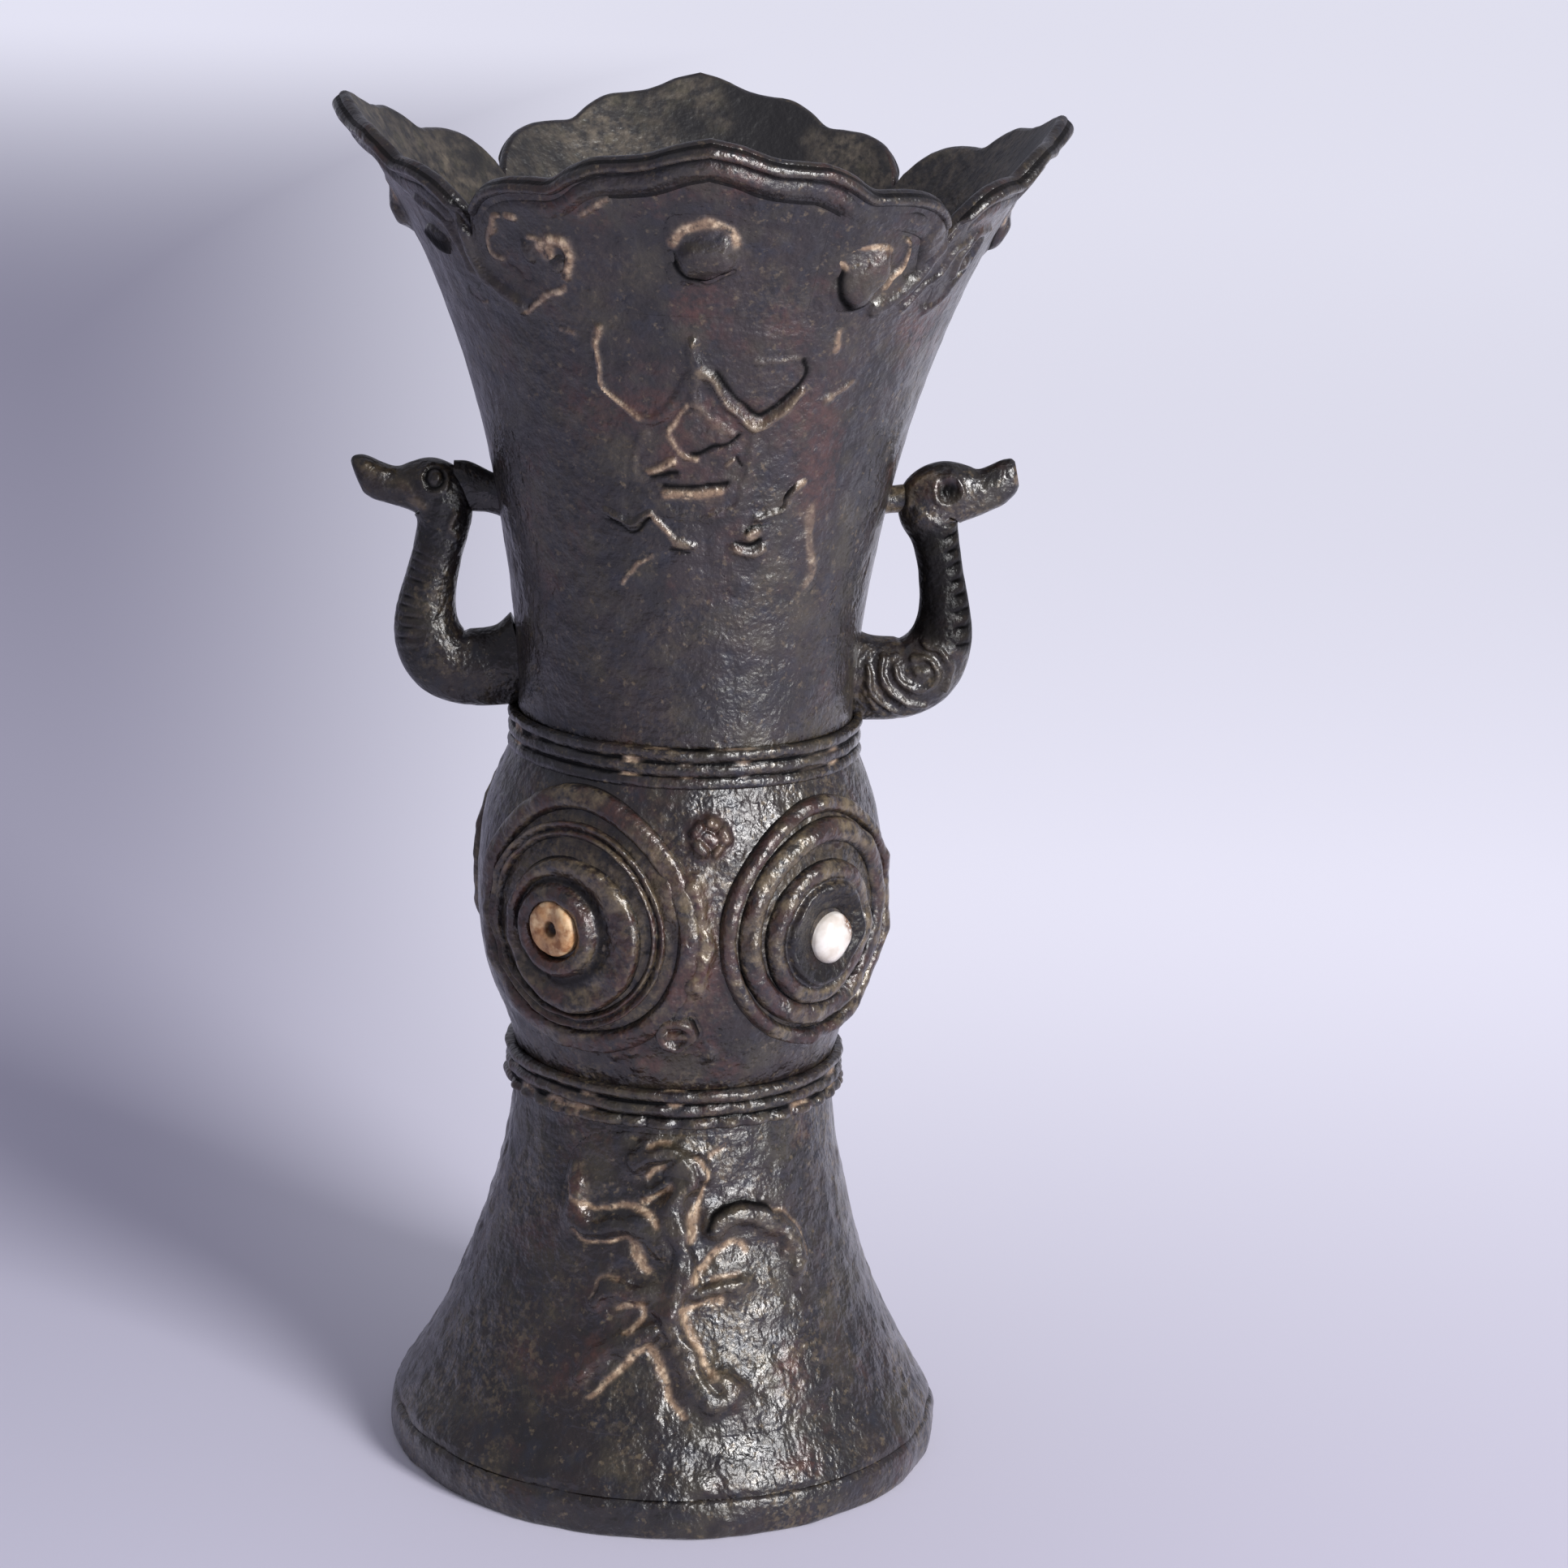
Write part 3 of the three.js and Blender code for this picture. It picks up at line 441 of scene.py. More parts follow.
def laid_on(wall, azimuth, height, radius, across, up, lift, roughness):
    """A relief bent onto a wall. Its top keeps to the wall's own skin plus its lift, its sides dip under
    the wall at its border, and its underside lies inside the wall."""
    turn = math.radians(azimuth) + across / radius
    level = height + up
    top = off_wall(wall, turn, level, lift + skin(off_wall(wall, turn, level, 0), roughness))
    under = off_wall(wall, turn, level, np.full(lift.shape, -UNDERSIDE))
    rows, columns = lift.shape
    faces = grid_faces(rows, columns, False, False)
    index = np.arange(rows * columns).reshape(rows, columns)
    border = np.concatenate([index[0], index[1:, -1], index[-1, -2::-1], index[-2:0:-1, 0]])
    beside = np.roll(border, -1)
    sides = np.stack([beside, border, border + index.size, beside + index.size], -1)
    points = np.concatenate([top.reshape(-1, 3), under.reshape(-1, 3)])
    return points, [faces, faces[:, ::-1] + index.size, sides]


def sheet_of_places(left, right, low, high, step):
    """Places across and up, a step apart, over a rectangle, and how many mm inside its rounded border."""
    across = np.linspace(left, right, round((right - left) / step) + 1)[None]
    up = np.linspace(low, high, round((high - low) / step) + 1)[:, None]
    x = (2 * across - left - right) / (right - left)
    y = (2 * up - low - high) / (high - low)
    depth = (1 - (np.abs(x) ** 5 + np.abs(y) ** 5) ** 0.2) * min(right - left, high - low) / 2
    across, up = np.broadcast_arrays(across, up)
    return across, up, depth


def bedded(lift, depth):
    """Lift of a relief so many mm inside its border: it stands steeply out of the wall at the border, a
    hair proud of it, and its ground eases up over the next 4 mm."""
    ground = FLUSH + (GROUND - FLUSH) * ease((depth - BORDER) / 4)
    lift = lift * ease(depth / 1.5) + ground
    return np.where(depth > BORDER, lift, -DIP)


UNDERSIDE = 1.4
BORDER = 0.2
FLUSH = 0.03
GROUND = 0.3
DIP = 1.0


def stain(across, up, patches):
    """Share of a stain at each place: 1 / (1 + (distance / half width)^4) from the nearest patch's line."""
    shares = [1 / (1 + (trace(across, up, smooth_line(line)) / half) ** 4) for half, line in patches]
    return np.max([np.zeros(across.shape), *shares], 0)


def relief(name, wall, azimuth, height, radius, area, step, strokes, roughness, slot, node, reds=()):
    """A piece of relief from its strokes, with red cuprite where its patches of red are."""
    across, up, depth = sheet_of_places(*area, step)
    lift, marks = carve(across, up, strokes)
    shape = laid_on(wall, azimuth, height, radius, across, up, bedded(lift, depth), roughness)
    marks["red"] = stain(across, up, reds)
    material = crusty_bronze if roughness > 1 else smooth_bronze
    return piece(name, shape, material, [node], marks)


CREATURE_CENTRE = 46
CREATURE_RADIUS = 38.5
CREATURE_AREA = (-27, 33, -28, 29)
# Raised body and limbs, in mm across and up from the centre of the creature
CREATURE = [
    (2.4, 3.0, 0, 0.1, [(1.5, 23.5), (3.5, 21), (4, 19.5), (1.5, 17.5), (0, 15), (0, 12), (1.5, 9),
        (2.5, 5.5), (2, 1), (1, -2.5), (0, -5.5)]),
    (1.8, 2.2, 0, 0.2, [(6.5, 20.5), (4, 23.5), (-0.5, 25), (-5, 24.5), (-8.5, 23)]),
    (1.2, 1.4, 0, 0, [(4.6, 17.6), (0, 19.4), (-5.2, 17.2)]),
    (2.2, 2, 0, 0, [(-1.5, 6.5), (-4.5, 10.5), (-8, 11), (-12, 10.5), (-16, 9), (-20.5, 10.5), (-22, 14),
        (-22.5, 17)]),
    (1.8, 1.9, 0, 0, [(-3, -8.5), (-6, -10.5), (-9.5, -12), (-12.5, -14.5), (-15, -18.5)]),
    (2.1, 2.3, 0, 0.25, [(0, -5.5), (0.5, -9), (2.5, -12.5), (4, -16), (5, -18.5), (7, -21.5),
        (9.5, -21.5), (10.5, -19.5), (9, -17.8)]),
    (1.6, 1.7, 0, 0, [(-2, -1.5), (-5.5, -2), (-9, -2), (-13, -2.5), (-14.5, -4.5)]),
    (2.2, 2.4, 0, 0.4, [(9, 10.8), (11.5, 12), (15, 12.4), (19.5, 11.4), (24, 9), (27, 5.5), (28, 1.5)]),
    (1.5, 1.6, 0, 0.3, [(0.5, -2.5), (5, -1.8), (9.5, -1), (14, -0.5)]),
    (0.49, -0.3, 1.0, 0, [(4.6, 24.2), (6.6, 22.2), (7.4, 20.5), (6.4, 17.5), (5.4, 15), (4.6, 12.2)]),
    (0.9, -0.3, 0.9, 0, [(5, 14), (4.2, 11.5), (3.8, 8.5)]),
    (0.41, -0.3, 0.8, 0, [(-5.5, 26.6), (-3, 27), (-0.5, 27)]),
    (0.57, -0.3, 0.9, 0, [(-2, 22.6), (-4, 22), (-5.5, 20.4)]),
    (0.66, -0.3, 1.0, 0, [(-6, 15.4), (-3.5, 16.9), (-0.5, 18.3)]),
    (0.57, -0.3, 1.0, 0, [(-24.4, 17.5), (-24, 14.5), (-19.5, 13.3), (-17, 12.8), (-13.5, 13.7),
        (-10.5, 14.2), (-7, 14), (-4.2, 12.8), (-2.9, 10.8)]),
    (0.49, -0.3, 1.0, 0, [(-21, 7.6), (-19, 6.6), (-16, 6.4), (-12, 7.4), (-9, 8.2), (-7, 6.4)]),
    (0.82, -0.3, 0.95, 0, [(-7.6, 7), (-6, 4), (-4, 2.4)]),
    (0.41, -0.3, 0.6, 0, [(-15.5, -4), (-14.5, -0.6), (-12.5, 0.2), (-10.5, 0)]),
    (0.49, -0.3, 0.9, 0, [(-10, -5), (-8, -4.2), (-5.5, -4.4), (-4.8, -6), (-6, -7.8), (-7.5, -9.5)]),
    (0.57, -0.3, 1.0, 0, [(-12.4, -21.5), (-10.5, -19), (-9, -17.2), (-7.5, -15.3), (-5.5, -13),
        (-3.6, -11.6)]),
    (0.7, -0.3, 1.0, 0, [(-3.6, -11.6), (-2, -13), (-1.2, -15.5), (0, -19), (1, -21.5), (2.8, -24)]),
    (0.66, -0.3, 1.0, 0, [(2.4, -5), (4, -4.6), (6, -3.7), (10, -3.3)]),
    (0.78, -0.3, 1.0, 0, [(3, -5.5), (3.7, -8.5), (5, -11), (6.4, -14), (7.6, -15.8), (8, -17.5)]),
    (0.7, -0.3, 1.0, 0, [(4.4, 1), (6.5, 2.7), (8.5, 5), (11, 6.8), (14, 7.2), (16, 5.6)]),
    (0.49, -0.3, 0.7, 0, [(8, 1.1), (11, 1.1), (14, 1.3)]),
    (0.37, -0.3, 0.6, 0, [(22, 13), (25, 12), (28.5, 9.4), (30.6, 6), (30.8, 2), (29.5, 0)]),
    (0.41, -0.3, 0.8, 0, [(8, 24.5), (10.5, 25.5), (12, 26)]),
    # A groove along the top of the wing, darkened with painted shade
    (0.6, -0.5, 0, 0, [(7.5, 10.2), (9.5, 13.8), (14, 15.2), (18.5, 14.4), (22, 12.8)]),
]
CREATURE_REDS = [(2.5, [(-13, -13), (-16, -18)]), (2, [(-22, 17), (-21, 12)])]
# The faces that carry ornament, and how far round each is turned
FACES = (("front", 0), ("back", 180))
for face, turned in FACES:
    relief(
        f"{face}_creature_relief", foot_wall, turned, CREATURE_CENTRE, CREATURE_RADIUS, CREATURE_AREA,
        0.42, CREATURE, FOOT_ROUGHNESS, "bronze_trim", f"{face}_creature", CREATURE_REDS,
    )

# Knop
# The real knop is a hollow ball of bronze between two necks, cast as one piece and joined to the foot and
# the beaker, with the joints hidden under the collars. Its skin is rougher than the beaker's.

KNOP_TOP = 148.5
UPPER_NECK_RADIUS = 33
KNOP_RADIUS = 40.2
BULGE_BOTTOM = 84
BULGE_TOP = 144.5
EYE_HEIGHT = 115.6
LEFT_EYE_AZIMUTH = -36.5
RIGHT_EYE_AZIMUTH = 45.1
KNOP_ROUGHNESS = 1.1
KNOP_BULGE = smooth_line(
    [
        [0, 0], [0.1, 0.22], [0.22, 0.61], [0.36, 0.87], [0.52, 1],
        [0.68, 0.94], [0.8, 0.78], [0.9, 0.52], [1, 0.18],
    ]
)


def knop_wall(height):
    """The neck, which widens evenly, plus the share of the bulge drawn for that height."""
    share = np.clip((height - BULGE_BOTTOM) / (BULGE_TOP - BULGE_BOTTOM), 0, 1)
    neck = LOWER_NECK_RADIUS + (UPPER_NECK_RADIUS - LOWER_NECK_RADIUS) * share
    swelling = np.interp(share, *KNOP_BULGE.T)
    return neck + (KNOP_RADIUS - neck) * np.where(share < 1, swelling, 0)


knop_turns = turn_steps(400)
knop_heights = np.linspace(BULGE_BOTTOM, BULGE_TOP - 0.1, 84)[:, None]
knop_places = off_wall(knop_wall, knop_turns, knop_heights, 0)
knop_skin = skin(knop_places, KNOP_ROUGHNESS)
# A knobbly rib runs down between the two eyes, and crumbs of casting stand below them
RIB = [
    (1.9, 1.7, 0, 0.9, [(1.5, 11), (3.2, 6), (4.2, 1), (4, -4), (2.6, -9)]),
    (1.4, 1.2, 0, 0.7, [(-3.6, 12), (-1, 6), (1.8, 1), (2.6, -4)]),
    (1.2, 0.9, 0, 0.1, [(2.2, -10), (0.6, -13), (-0.4, -15.4)]),
    (1.3, 0.8, 0, 0.2, [(-11, -23.6), (-10.4, -23.4)]),
    (1.0, 0.8, 0, 0.2, [(-9.4, -26.4), (-9, -26.2)]),
    (0.9, 0.7, 0, 0.3, [(-14.6, -24.6), (-14.2, -24.4)]),
    (1.1, 0.8, 0, 0.1, [(7, -23), (7.4, -24)]),
    (0.8, 0.6, 0, 0.3, [(10.8, 17.4), (11.2, 17.4)]),
]
around = KNOP_RADIUS * ((knop_turns + math.pi / 2) % math.pi - math.pi / 2)[None]
rib_lift, knop_marks = carve(around, knop_heights - EYE_HEIGHT, RIB)
RIB_REDS = [(4, RIB[0][-1]), (3, [(-14, -22), (-6, -26)])]
knop_marks["red"] = stain(*np.broadcast_arrays(around, knop_heights - EYE_HEIGHT), RIB_REDS)
# Khaki crumbs lie round the rings of the eyes, and painted shade darkens the knop there
for azimuth, dark in ((LEFT_EYE_AZIMUTH, 0.3), (RIGHT_EYE_AZIMUTH, 0.35)):
    from_eye = np.hypot(around - KNOP_RADIUS * math.radians(azimuth), knop_heights - EYE_HEIGHT)
    near_eye = ease((25 - from_eye) / 4)
    knop_marks["shade"] = np.maximum(knop_marks["shade"], dark * near_eye)
    knop_marks["rub"] = np.maximum(knop_marks["rub"], 0.5 * near_eye)
rib_lift = rib_lift * (1 + 0.5 * lumps(knop_places, 2.3, 64))
knop_outside = off_wall(knop_wall, knop_turns, knop_heights, knop_skin + rib_lift)
bore_heights = np.linspace(BULGE_TOP - 0.1, BULGE_BOTTOM, 20)
knop_bore = circles([[float(knop_wall(h)) - CASTING_WALL, h] for h in bore_heights], knop_turns)
knop_top = circles([[UPPER_NECK_RADIUS, KNOP_TOP], [UPPER_NECK_RADIUS - CASTING_WALL, KNOP_TOP]], knop_turns)
knop_bottom = circles(
    [[LOWER_NECK_RADIUS - CASTING_WALL, FOOT_TOP], [LOWER_NECK_RADIUS, FOOT_TOP]], knop_turns
)
piece(
    "knop_casting",
    hoop(np.concatenate([knop_outside, knop_top, knop_bore, knop_bottom])),
    crusty_bronze,
    ["knop"],
    knop_marks,
)

# Eyes
# The real eyes are two on the front: a round inlay in a cup, and two raised rings round it, all cast on
# the knop. The left inlay is a drilled bone disc and the right one a polished shell dome.

EYE_STEPS = 240


def wobble(turns, seed, size=1.0):
    """A slow unevenness round a ring: three waves of 2, 3 and 5 to the turn with random phases."""
    phases = np.random.default_rng(seed).random(3) * 2 * math.pi
    waves = zip((2, 3, 5), (0.5, 0.35, 0.2), phases)
    return size * sum(strength * np.sin(number * turns + phase) for number, strength, phase in waves)


def round_relief(azimuth, outline, seed, uneven, lean=(0, 0), lean_from=0):
    """A turned shape on the knop: its outline, a radius and a lift, carried round the centre of the eye. It
    leans off that centre, all of the way from 5 mm outside the radius where its lean begins."""
    turns = turn_steps(EYE_STEPS)
    radius, lift = np.asarray(outline, float).T[..., None]
    leaning = ease((radius - lean_from) / 5)
    radius = radius * (1 + wobble(turns, seed, uneven))
    across = radius * np.cos(turns) + lean[0] * leaning
    up = radius * np.sin(turns) + lean[1] * leaning
    turn = math.radians(azimuth) + across / KNOP_RADIUS
    level = EYE_HEIGHT + up
    base = off_wall(knop_wall, turn, level, 0)
    shallow = ease(lift + 0.5)
    rough = skin(base, 0.9) + 0.3 * lumps(base, 3.1, seed) + 0.14 * lumps(base, 1.4, seed + 1)
    lift = np.where(lift > 0, lift * (0.95 + 0.3 * lumps(base, 5, seed + 2)), lift)
    return off_wall(knop_wall, turn, level, lift + shallow * rough)


def crested(radius, half, height, double):
    """Outline of a ring from the middle of its radius, its half width and its height: a flat crest, or two
    crests with a furrow between them."""
    flat = [(-1.3, -0.8), (-1, 0), (-0.75, 0.75), (-0.25, 1), (0.35, 0.95), (0.75, 0.6), (1, 0), (1.3, -0.8)]
    furrowed = [
        (-1.3, -0.8), (-1, 0), (-0.7, 0.85), (-0.4, 0.8), (-0.05, 0.3),
        (0.3, 0.75), (0.6, 1), (0.85, 0.7), (1, 0), (1.3, -0.8),
    ]
    crest = furrowed if double else flat
    shape = [(radius + across * half, lift * height if lift > 0 else lift) for across, lift in crest]
    return smooth_line([*shape, (radius, -0.9)], 3)


LEFT_SOCKET = smooth_line(
    [
        [5.7, -0.8], [5.72, 1.4], [6.2, 2.2], [7.1, 2.6], [8, 2.4], [8.8, 1.4], [9.4, 0.4], [10, 0.15],
        [10.7, 0.3], [11.6, 1],
        [12.6, 1.6], [13.6, 2], [14.4, 1.8], [15, 1], [15.4, 0.1], [15.7, -0.8], [9, -0.9],
    ],
    3,
)
RIGHT_SOCKET = smooth_line(
    [
        [4.2, -0.8], [4.8, 0], [5.6, 0.4], [6.6, 1], [7.8, 1.8], [8.9, 2.4], [9.6, 2.2], [10.1, 1.4],
        [10.6, 1.2], [11.2, 1.7], [12.2, 2], [13.3, 1.7], [14, 0.9], [14.4, 0], [14.6, -0.8], [9, -0.9],
    ],
    3,
)
RIGHT_MIDDLE_RING = smooth_line(
    [
        [15.8, -0.8], [16, 0.1], [16.5, 1.2], [17.3, 1.8], [18.5, 2], [19.7, 1.6], [20.4, 0.7], [20.8, -0.1],
        [21, -0.8], [17, -0.9],
    ],
    3,
)


def ring_marks(outline, rows, dust, dusty_from, seed):
    """Khaki rubbed onto the crests outside a radius, in patches with some red, painted shade in the lows, and
    a darker tone in the cup, which ends 1 mm inside that radius."""
    radius, lift = outline.T[..., None]
    # Painted shade in the lows of the ring
    low = 0.75 * ease((0.7 - lift) / 0.6)
    in_cup = 0.6 * ease(dusty_from - 1 - radius)
    there = ease(0.45 + 1.3 * lumps(rows, 4, seed) + 0.5 * lumps(rows, 9, seed + 3))
    on_crest = ease((lift - 0.5) / 0.5) * ease((radius - dusty_from) / 0.6)
    return {
        "rub": there * dust * on_crest,
        "red": (1 - there) * 0.8 * on_crest,
        "shade": np.maximum(low, in_cup) * np.ones(rows.shape[:2]),
    }


# Bone, cut as a slice across a long bone, drilled and rubbed smooth. The eye gets a warm tan disc with a
# fine grain, darker in and round its drilled hole.
bone, tree, shader, place = new_material("old_bone")
hole_dark = add_node(tree, "ShaderNodeAttribute", {"attribute_name": "shade"}).outputs["Fac"]
fine = {"Scale": per_metre(0.5), "Detail": 3, "Vector": place}
pores = add_node(tree, "ShaderNodeTexNoise", (), fine).outputs[0]
dimples = {"Strength": 0.3, "Distance": 0.1 * MM, "Height": pores}
porous = add_node(tree, "ShaderNodeBump", (), dimples).outputs[0]
bone_layers = [
    ("#94643e", clouds(2.2, 0.45, 0.62, 20)),
    ("#d8b78d", clouds(3.1, 0.5, 0.62, 21)),
    ("#2a1912", hole_dark),
]
give(shader, {"Base Color": weathered("#c2966a", bone_layers), "Roughness": 0.5, "Normal": porous})
BONE_DISC = smooth_line(
    [
        [0.2, 0.9], [0.9, 0.95], [1.3, 1.6], [1.5, 2.4], [2.1, 2.75], [3.4, 2.7], [4.6, 2.45], [5.2, 1.8],
        [5.4, 0.8], [5.4, -0.6], [3, -0.7], [0.4, -0.7],
    ],
    3,
)


def drilled(radius, turns):
    """Share of the dark round the hole: all within 0.9 mm of the middle, none beyond 1.9 mm."""
    return ease((1.9 - radius) / 1.0) * np.ones_like(turns)


# Shell, ground to a dome and polished. The eye gets an off-white, slightly glossy drop with brown specks.
shell, tree, shader, place = new_material("polished_shell")
stain_share = add_node(tree, "ShaderNodeAttribute", {"attribute_name": "shade"}).outputs["Fac"]
shell_layers = [
    ("#cdc3b8", clouds(3.5, 0.4, 0.65, 22)),
    ("#7a573c", clouds(0.9, 0.4, 0.52, 26, 4), stain_share),
]
give(shader, {"Base Color": weathered("#e6e0da", shell_layers), "Roughness": 0.28})
SHELL_DOME = smooth_line(
    [[0.2, 2.9], [1.7, 2.8], [2.9, 2.5], [4, 1.9], [4.7, 1.2], [5, 0.5], [5, -0.6], [3, -0.7], [0.4, -0.7]], 4
)


def stained(radius, turns):
    """Share of the brown stains: from 2 mm off the middle, 40 degrees to either side of the upper right."""
    return ease((radius - 2) / 1.4) * ease(4 * np.cos(turns - 0.5) - 2.7)


# Each eye's azimuth and dust, its inlay with the lean of that, and its rings from the inside out: outline,
# unevenness, lean, the radius where the lean begins, and the radius where the dust does
LEFT_RINGS = [
    ("socket", LEFT_SOCKET, 0.012, (2.6, -0.8), 9, 5.5),
    ("middle_ring", crested(19.1, 1.5, 1.5, True), 0.02, (2.0, 0.8), 0, 17),
    ("outer_ring", crested(24.3, 2.4, 2.0, False), 0.03, (3.0, 1.3), 0, 21),
]
RIGHT_RINGS = [
    ("socket", RIGHT_SOCKET, 0.012, (-0.8, 0), 4, 10.7),
    ("middle_ring", RIGHT_MIDDLE_RING, 0.02, (0.2, 1.4), 0, 16),
    ("outer_ring", crested(23.2, 1.7, 2.1, False), 0.025, (0.6, 1.2), 0, 20),
]
EYES = [
    ("left_eye", LEFT_EYE_AZIMUTH, 0.75, bone, BONE_DISC, drilled, "bone", (0, 0.6), LEFT_RINGS),
    ("right_eye", RIGHT_EYE_AZIMUTH, 0.9, shell, SHELL_DOME, stained, "shell", (0.9, -1.4), RIGHT_RINGS),
]
for face, turned in FACES:
    for name, azimuth, dust, inlay, dome, mark_inlay, inlay_slot, inlay_lean, rings in EYES:
        node = f"{face}_{name}"
        for seed, (part, outline, uneven, lean, lean_from, dusty_from) in enumerate(rings, 31):
            rows = round_relief(azimuth + turned, outline, seed, uneven, lean, lean_from)
            marks = ring_marks(outline, rows, dust, dusty_from, seed)
            piece(f"{node}_{part}_cast", hoop(rows), crusty_bronze, [f"{node}_{part}"], marks)
        rows = round_relief(azimuth + turned, dome, 35, 0, inlay_lean, -5)
        marks = {"shade": mark_inlay(dome[:, :1], turn_steps(EYE_STEPS))}
        piece(f"{node}_inlay", capped(rows), inlay, [f"{node}_pupil"], marks)

# Knop bosses
# The real bosses are two small knobs between the eyes, a rough rosette above and an oval below, cast on
# the knop. Red cuprite shows on both.


def ring_line(across, up, half_width, half_height):
    """A closed oval line round a point."""
    turns = np.linspace(0, 2 * math.pi, 9)
    return list(zip(across + half_width * np.cos(turns), up + half_height * np.sin(turns)))


UPPER_BOSS = [
    (1.0, 1.5, 0, 0.1, [(-2.7, 1), (-2, 1.9)]),
    (0.9, 2.1, 0.3, 0.3, [(-0.1, 2.9), (0.8, 2.5)]),
    (1.1, 1.7, 0.2, 0.1, [(2.3, 1), (2.7, 0)]),
    (0.9, 1.4, 0.3, 0.2, [(1, -2.6), (2, -2)]),
    (1.0, 1.6, 0, 0.2, [(-2.2, -1.2), (-1.4, -2.1)]),
    (1.1, 1.1, 0, 0, [(-0.6, 0.4), (0.5, -0.3)]),
]
LOWER_BOSS = [
    (0.9, 1.7, 0, 0.2, ring_line(0, 0, 3.1, 2.7)),
    (0.7, 1.5, 0, 0.5, [(-1.8, -0.2), (1.6, 0.1)]),
    # A groove round the oval, darkened with painted shade
    (0.45, -0.4, 0, 0, ring_line(0, 0, 4.8, 4.4)),
]
KNOP_BOSSES = [("upper", 5, 20.4, UPPER_BOSS), ("lower", -0.5, -18.4, LOWER_BOSS)]
for face, turned in FACES:
    for name, across, up, strokes in KNOP_BOSSES:
        boss_azimuth = turned + math.degrees(across / KNOP_RADIUS)
        relief(
            f"{face}_{name}_knop_boss_cast", knop_wall, boss_azimuth, EYE_HEIGHT + up, KNOP_RADIUS,
            (-6, 6, -5.6, 5.6), 0.24, strokes, KNOP_ROUGHNESS, "bronze_trim", f"{face}_{name}_knop_boss",
            [(4, [(-0.5, 0), (0.5, 0)])],
        )

# Beaker
# The real beaker is a tall trumpet of bronze cast in one with its rim, which is cut into four petals with
# waved edges. Its outside is smoother than the foot's, and its inside has a mottled olive and tan patina.

TIP_HEIGHT = 269
PETAL_TIP_RADIUS = 69.6
BEAKER_START = 152.5
RIM_THICKNESS = 2.6
PETAL_EDGE = smooth_line(
    [
        [0, 0], [4, 1.1], [9, 3.2], [13, 3.9], [17, 4.4], [21, 6.3], [25, 8.9], [29, 9.2], [34, 9.7],
        [39, 11.6], [43, 15.2], [45, 18.6],
    ]
)
# Azimuths of the petals' corners and middles, of which the front petal is the widest, and even ones
PETAL_TURNS = [0, 51, 90, 135, 180, 225, 270, 312, 360]
EVEN_TURNS = np.arange(9) * 45


def beaker_wall(height):
    """The neck plus the opening times 0.74 s^1.7 + 0.26 s^4.8, with s the share of the way up to the tips."""
    share = np.clip((height - BEAKER_START) / (TIP_HEIGHT - BEAKER_START), 0, 1.02)
    opening = 0.74 * share**1.7 + 0.26 * share**4.8
    return UPPER_NECK_RADIUS + (PETAL_TIP_RADIUS - UPPER_NECK_RADIUS) * opening


def from_middle(azimuth):
    """The angle from the middle of the petal, as it would be if the four petals were even."""
    return np.abs((np.interp(azimuth % 360, PETAL_TURNS, EVEN_TURNS) + 45) % 90 - 45)


def rim_height(azimuth):
    """The tips' height less the drop drawn for the angle from the middle of the petal."""
    return TIP_HEIGHT - np.interp(from_middle(azimuth), *PETAL_EDGE.T)


BEAKER_ROUGHNESS = 0.75
beaker_turns = turn_steps(480)
rims = rim_height(np.degrees(beaker_turns))[None]
rim_round = 1.1
share = 1 - (1 - np.linspace(0, 1, 142)[:, None]) ** 1.25
outer_heights = BEAKER_START + (rims - rim_round - BEAKER_START) * share
outer_skin = skin(off_wall(beaker_wall, beaker_turns, outer_heights, 0), BEAKER_ROUGHNESS)
outer = off_wall(beaker_wall, beaker_turns, outer_heights, outer_skin)
over = np.linspace(0, math.pi, 9)[1:-1, None]
lip_depth = RIM_THICKNESS / 2 * (1 - np.cos(over))
lip_heights = rims - rim_round + rim_round * np.sin(over)
lip = off_wall(beaker_wall, beaker_turns, lip_heights, outer_skin[-1:] - lip_depth)
inner_heights = outer_heights[::-3]
inner_depth = RIM_THICKNESS + 0.4 * ease((rims - inner_heights) / 14)
inner_base = off_wall(beaker_wall, beaker_turns, inner_heights, 0)
inner_skin = 0.5 * skin(inner_base, BEAKER_ROUGHNESS)
inner = off_wall(beaker_wall, beaker_turns, inner_heights, inner_skin - inner_depth)
neck = circles([[UPPER_NECK_RADIUS - CASTING_WALL, KNOP_TOP], [UPPER_NECK_RADIUS, KNOP_TOP]], beaker_turns)
beaker_rows = np.concatenate([outer, lip, inner, neck])
beaker_patina = np.zeros(beaker_rows.shape[:2])
beaker_patina[len(outer) + len(lip) :] = 1
beaker_marks = {"patina": beaker_patina}
piece("beaker_casting", hoop(beaker_rows), smooth_bronze, ["beaker"], beaker_marks)

# Collars
# The real collars are sleeves of three uneven cords that hide the joints below and above the knop. They
# were cast on over the joints, and the lower one is beaded, with earth between the beads.

COLLAR_HEIGHT = 8
COLLAR_CLEARANCE = 0.3
collar_turns = turn_steps(420)
BEADS = 36
CORDS = [(0.95, 1.25, 1.0), (3.9, 1.1, 0.85), (6.9, 1.2, 1.05)]


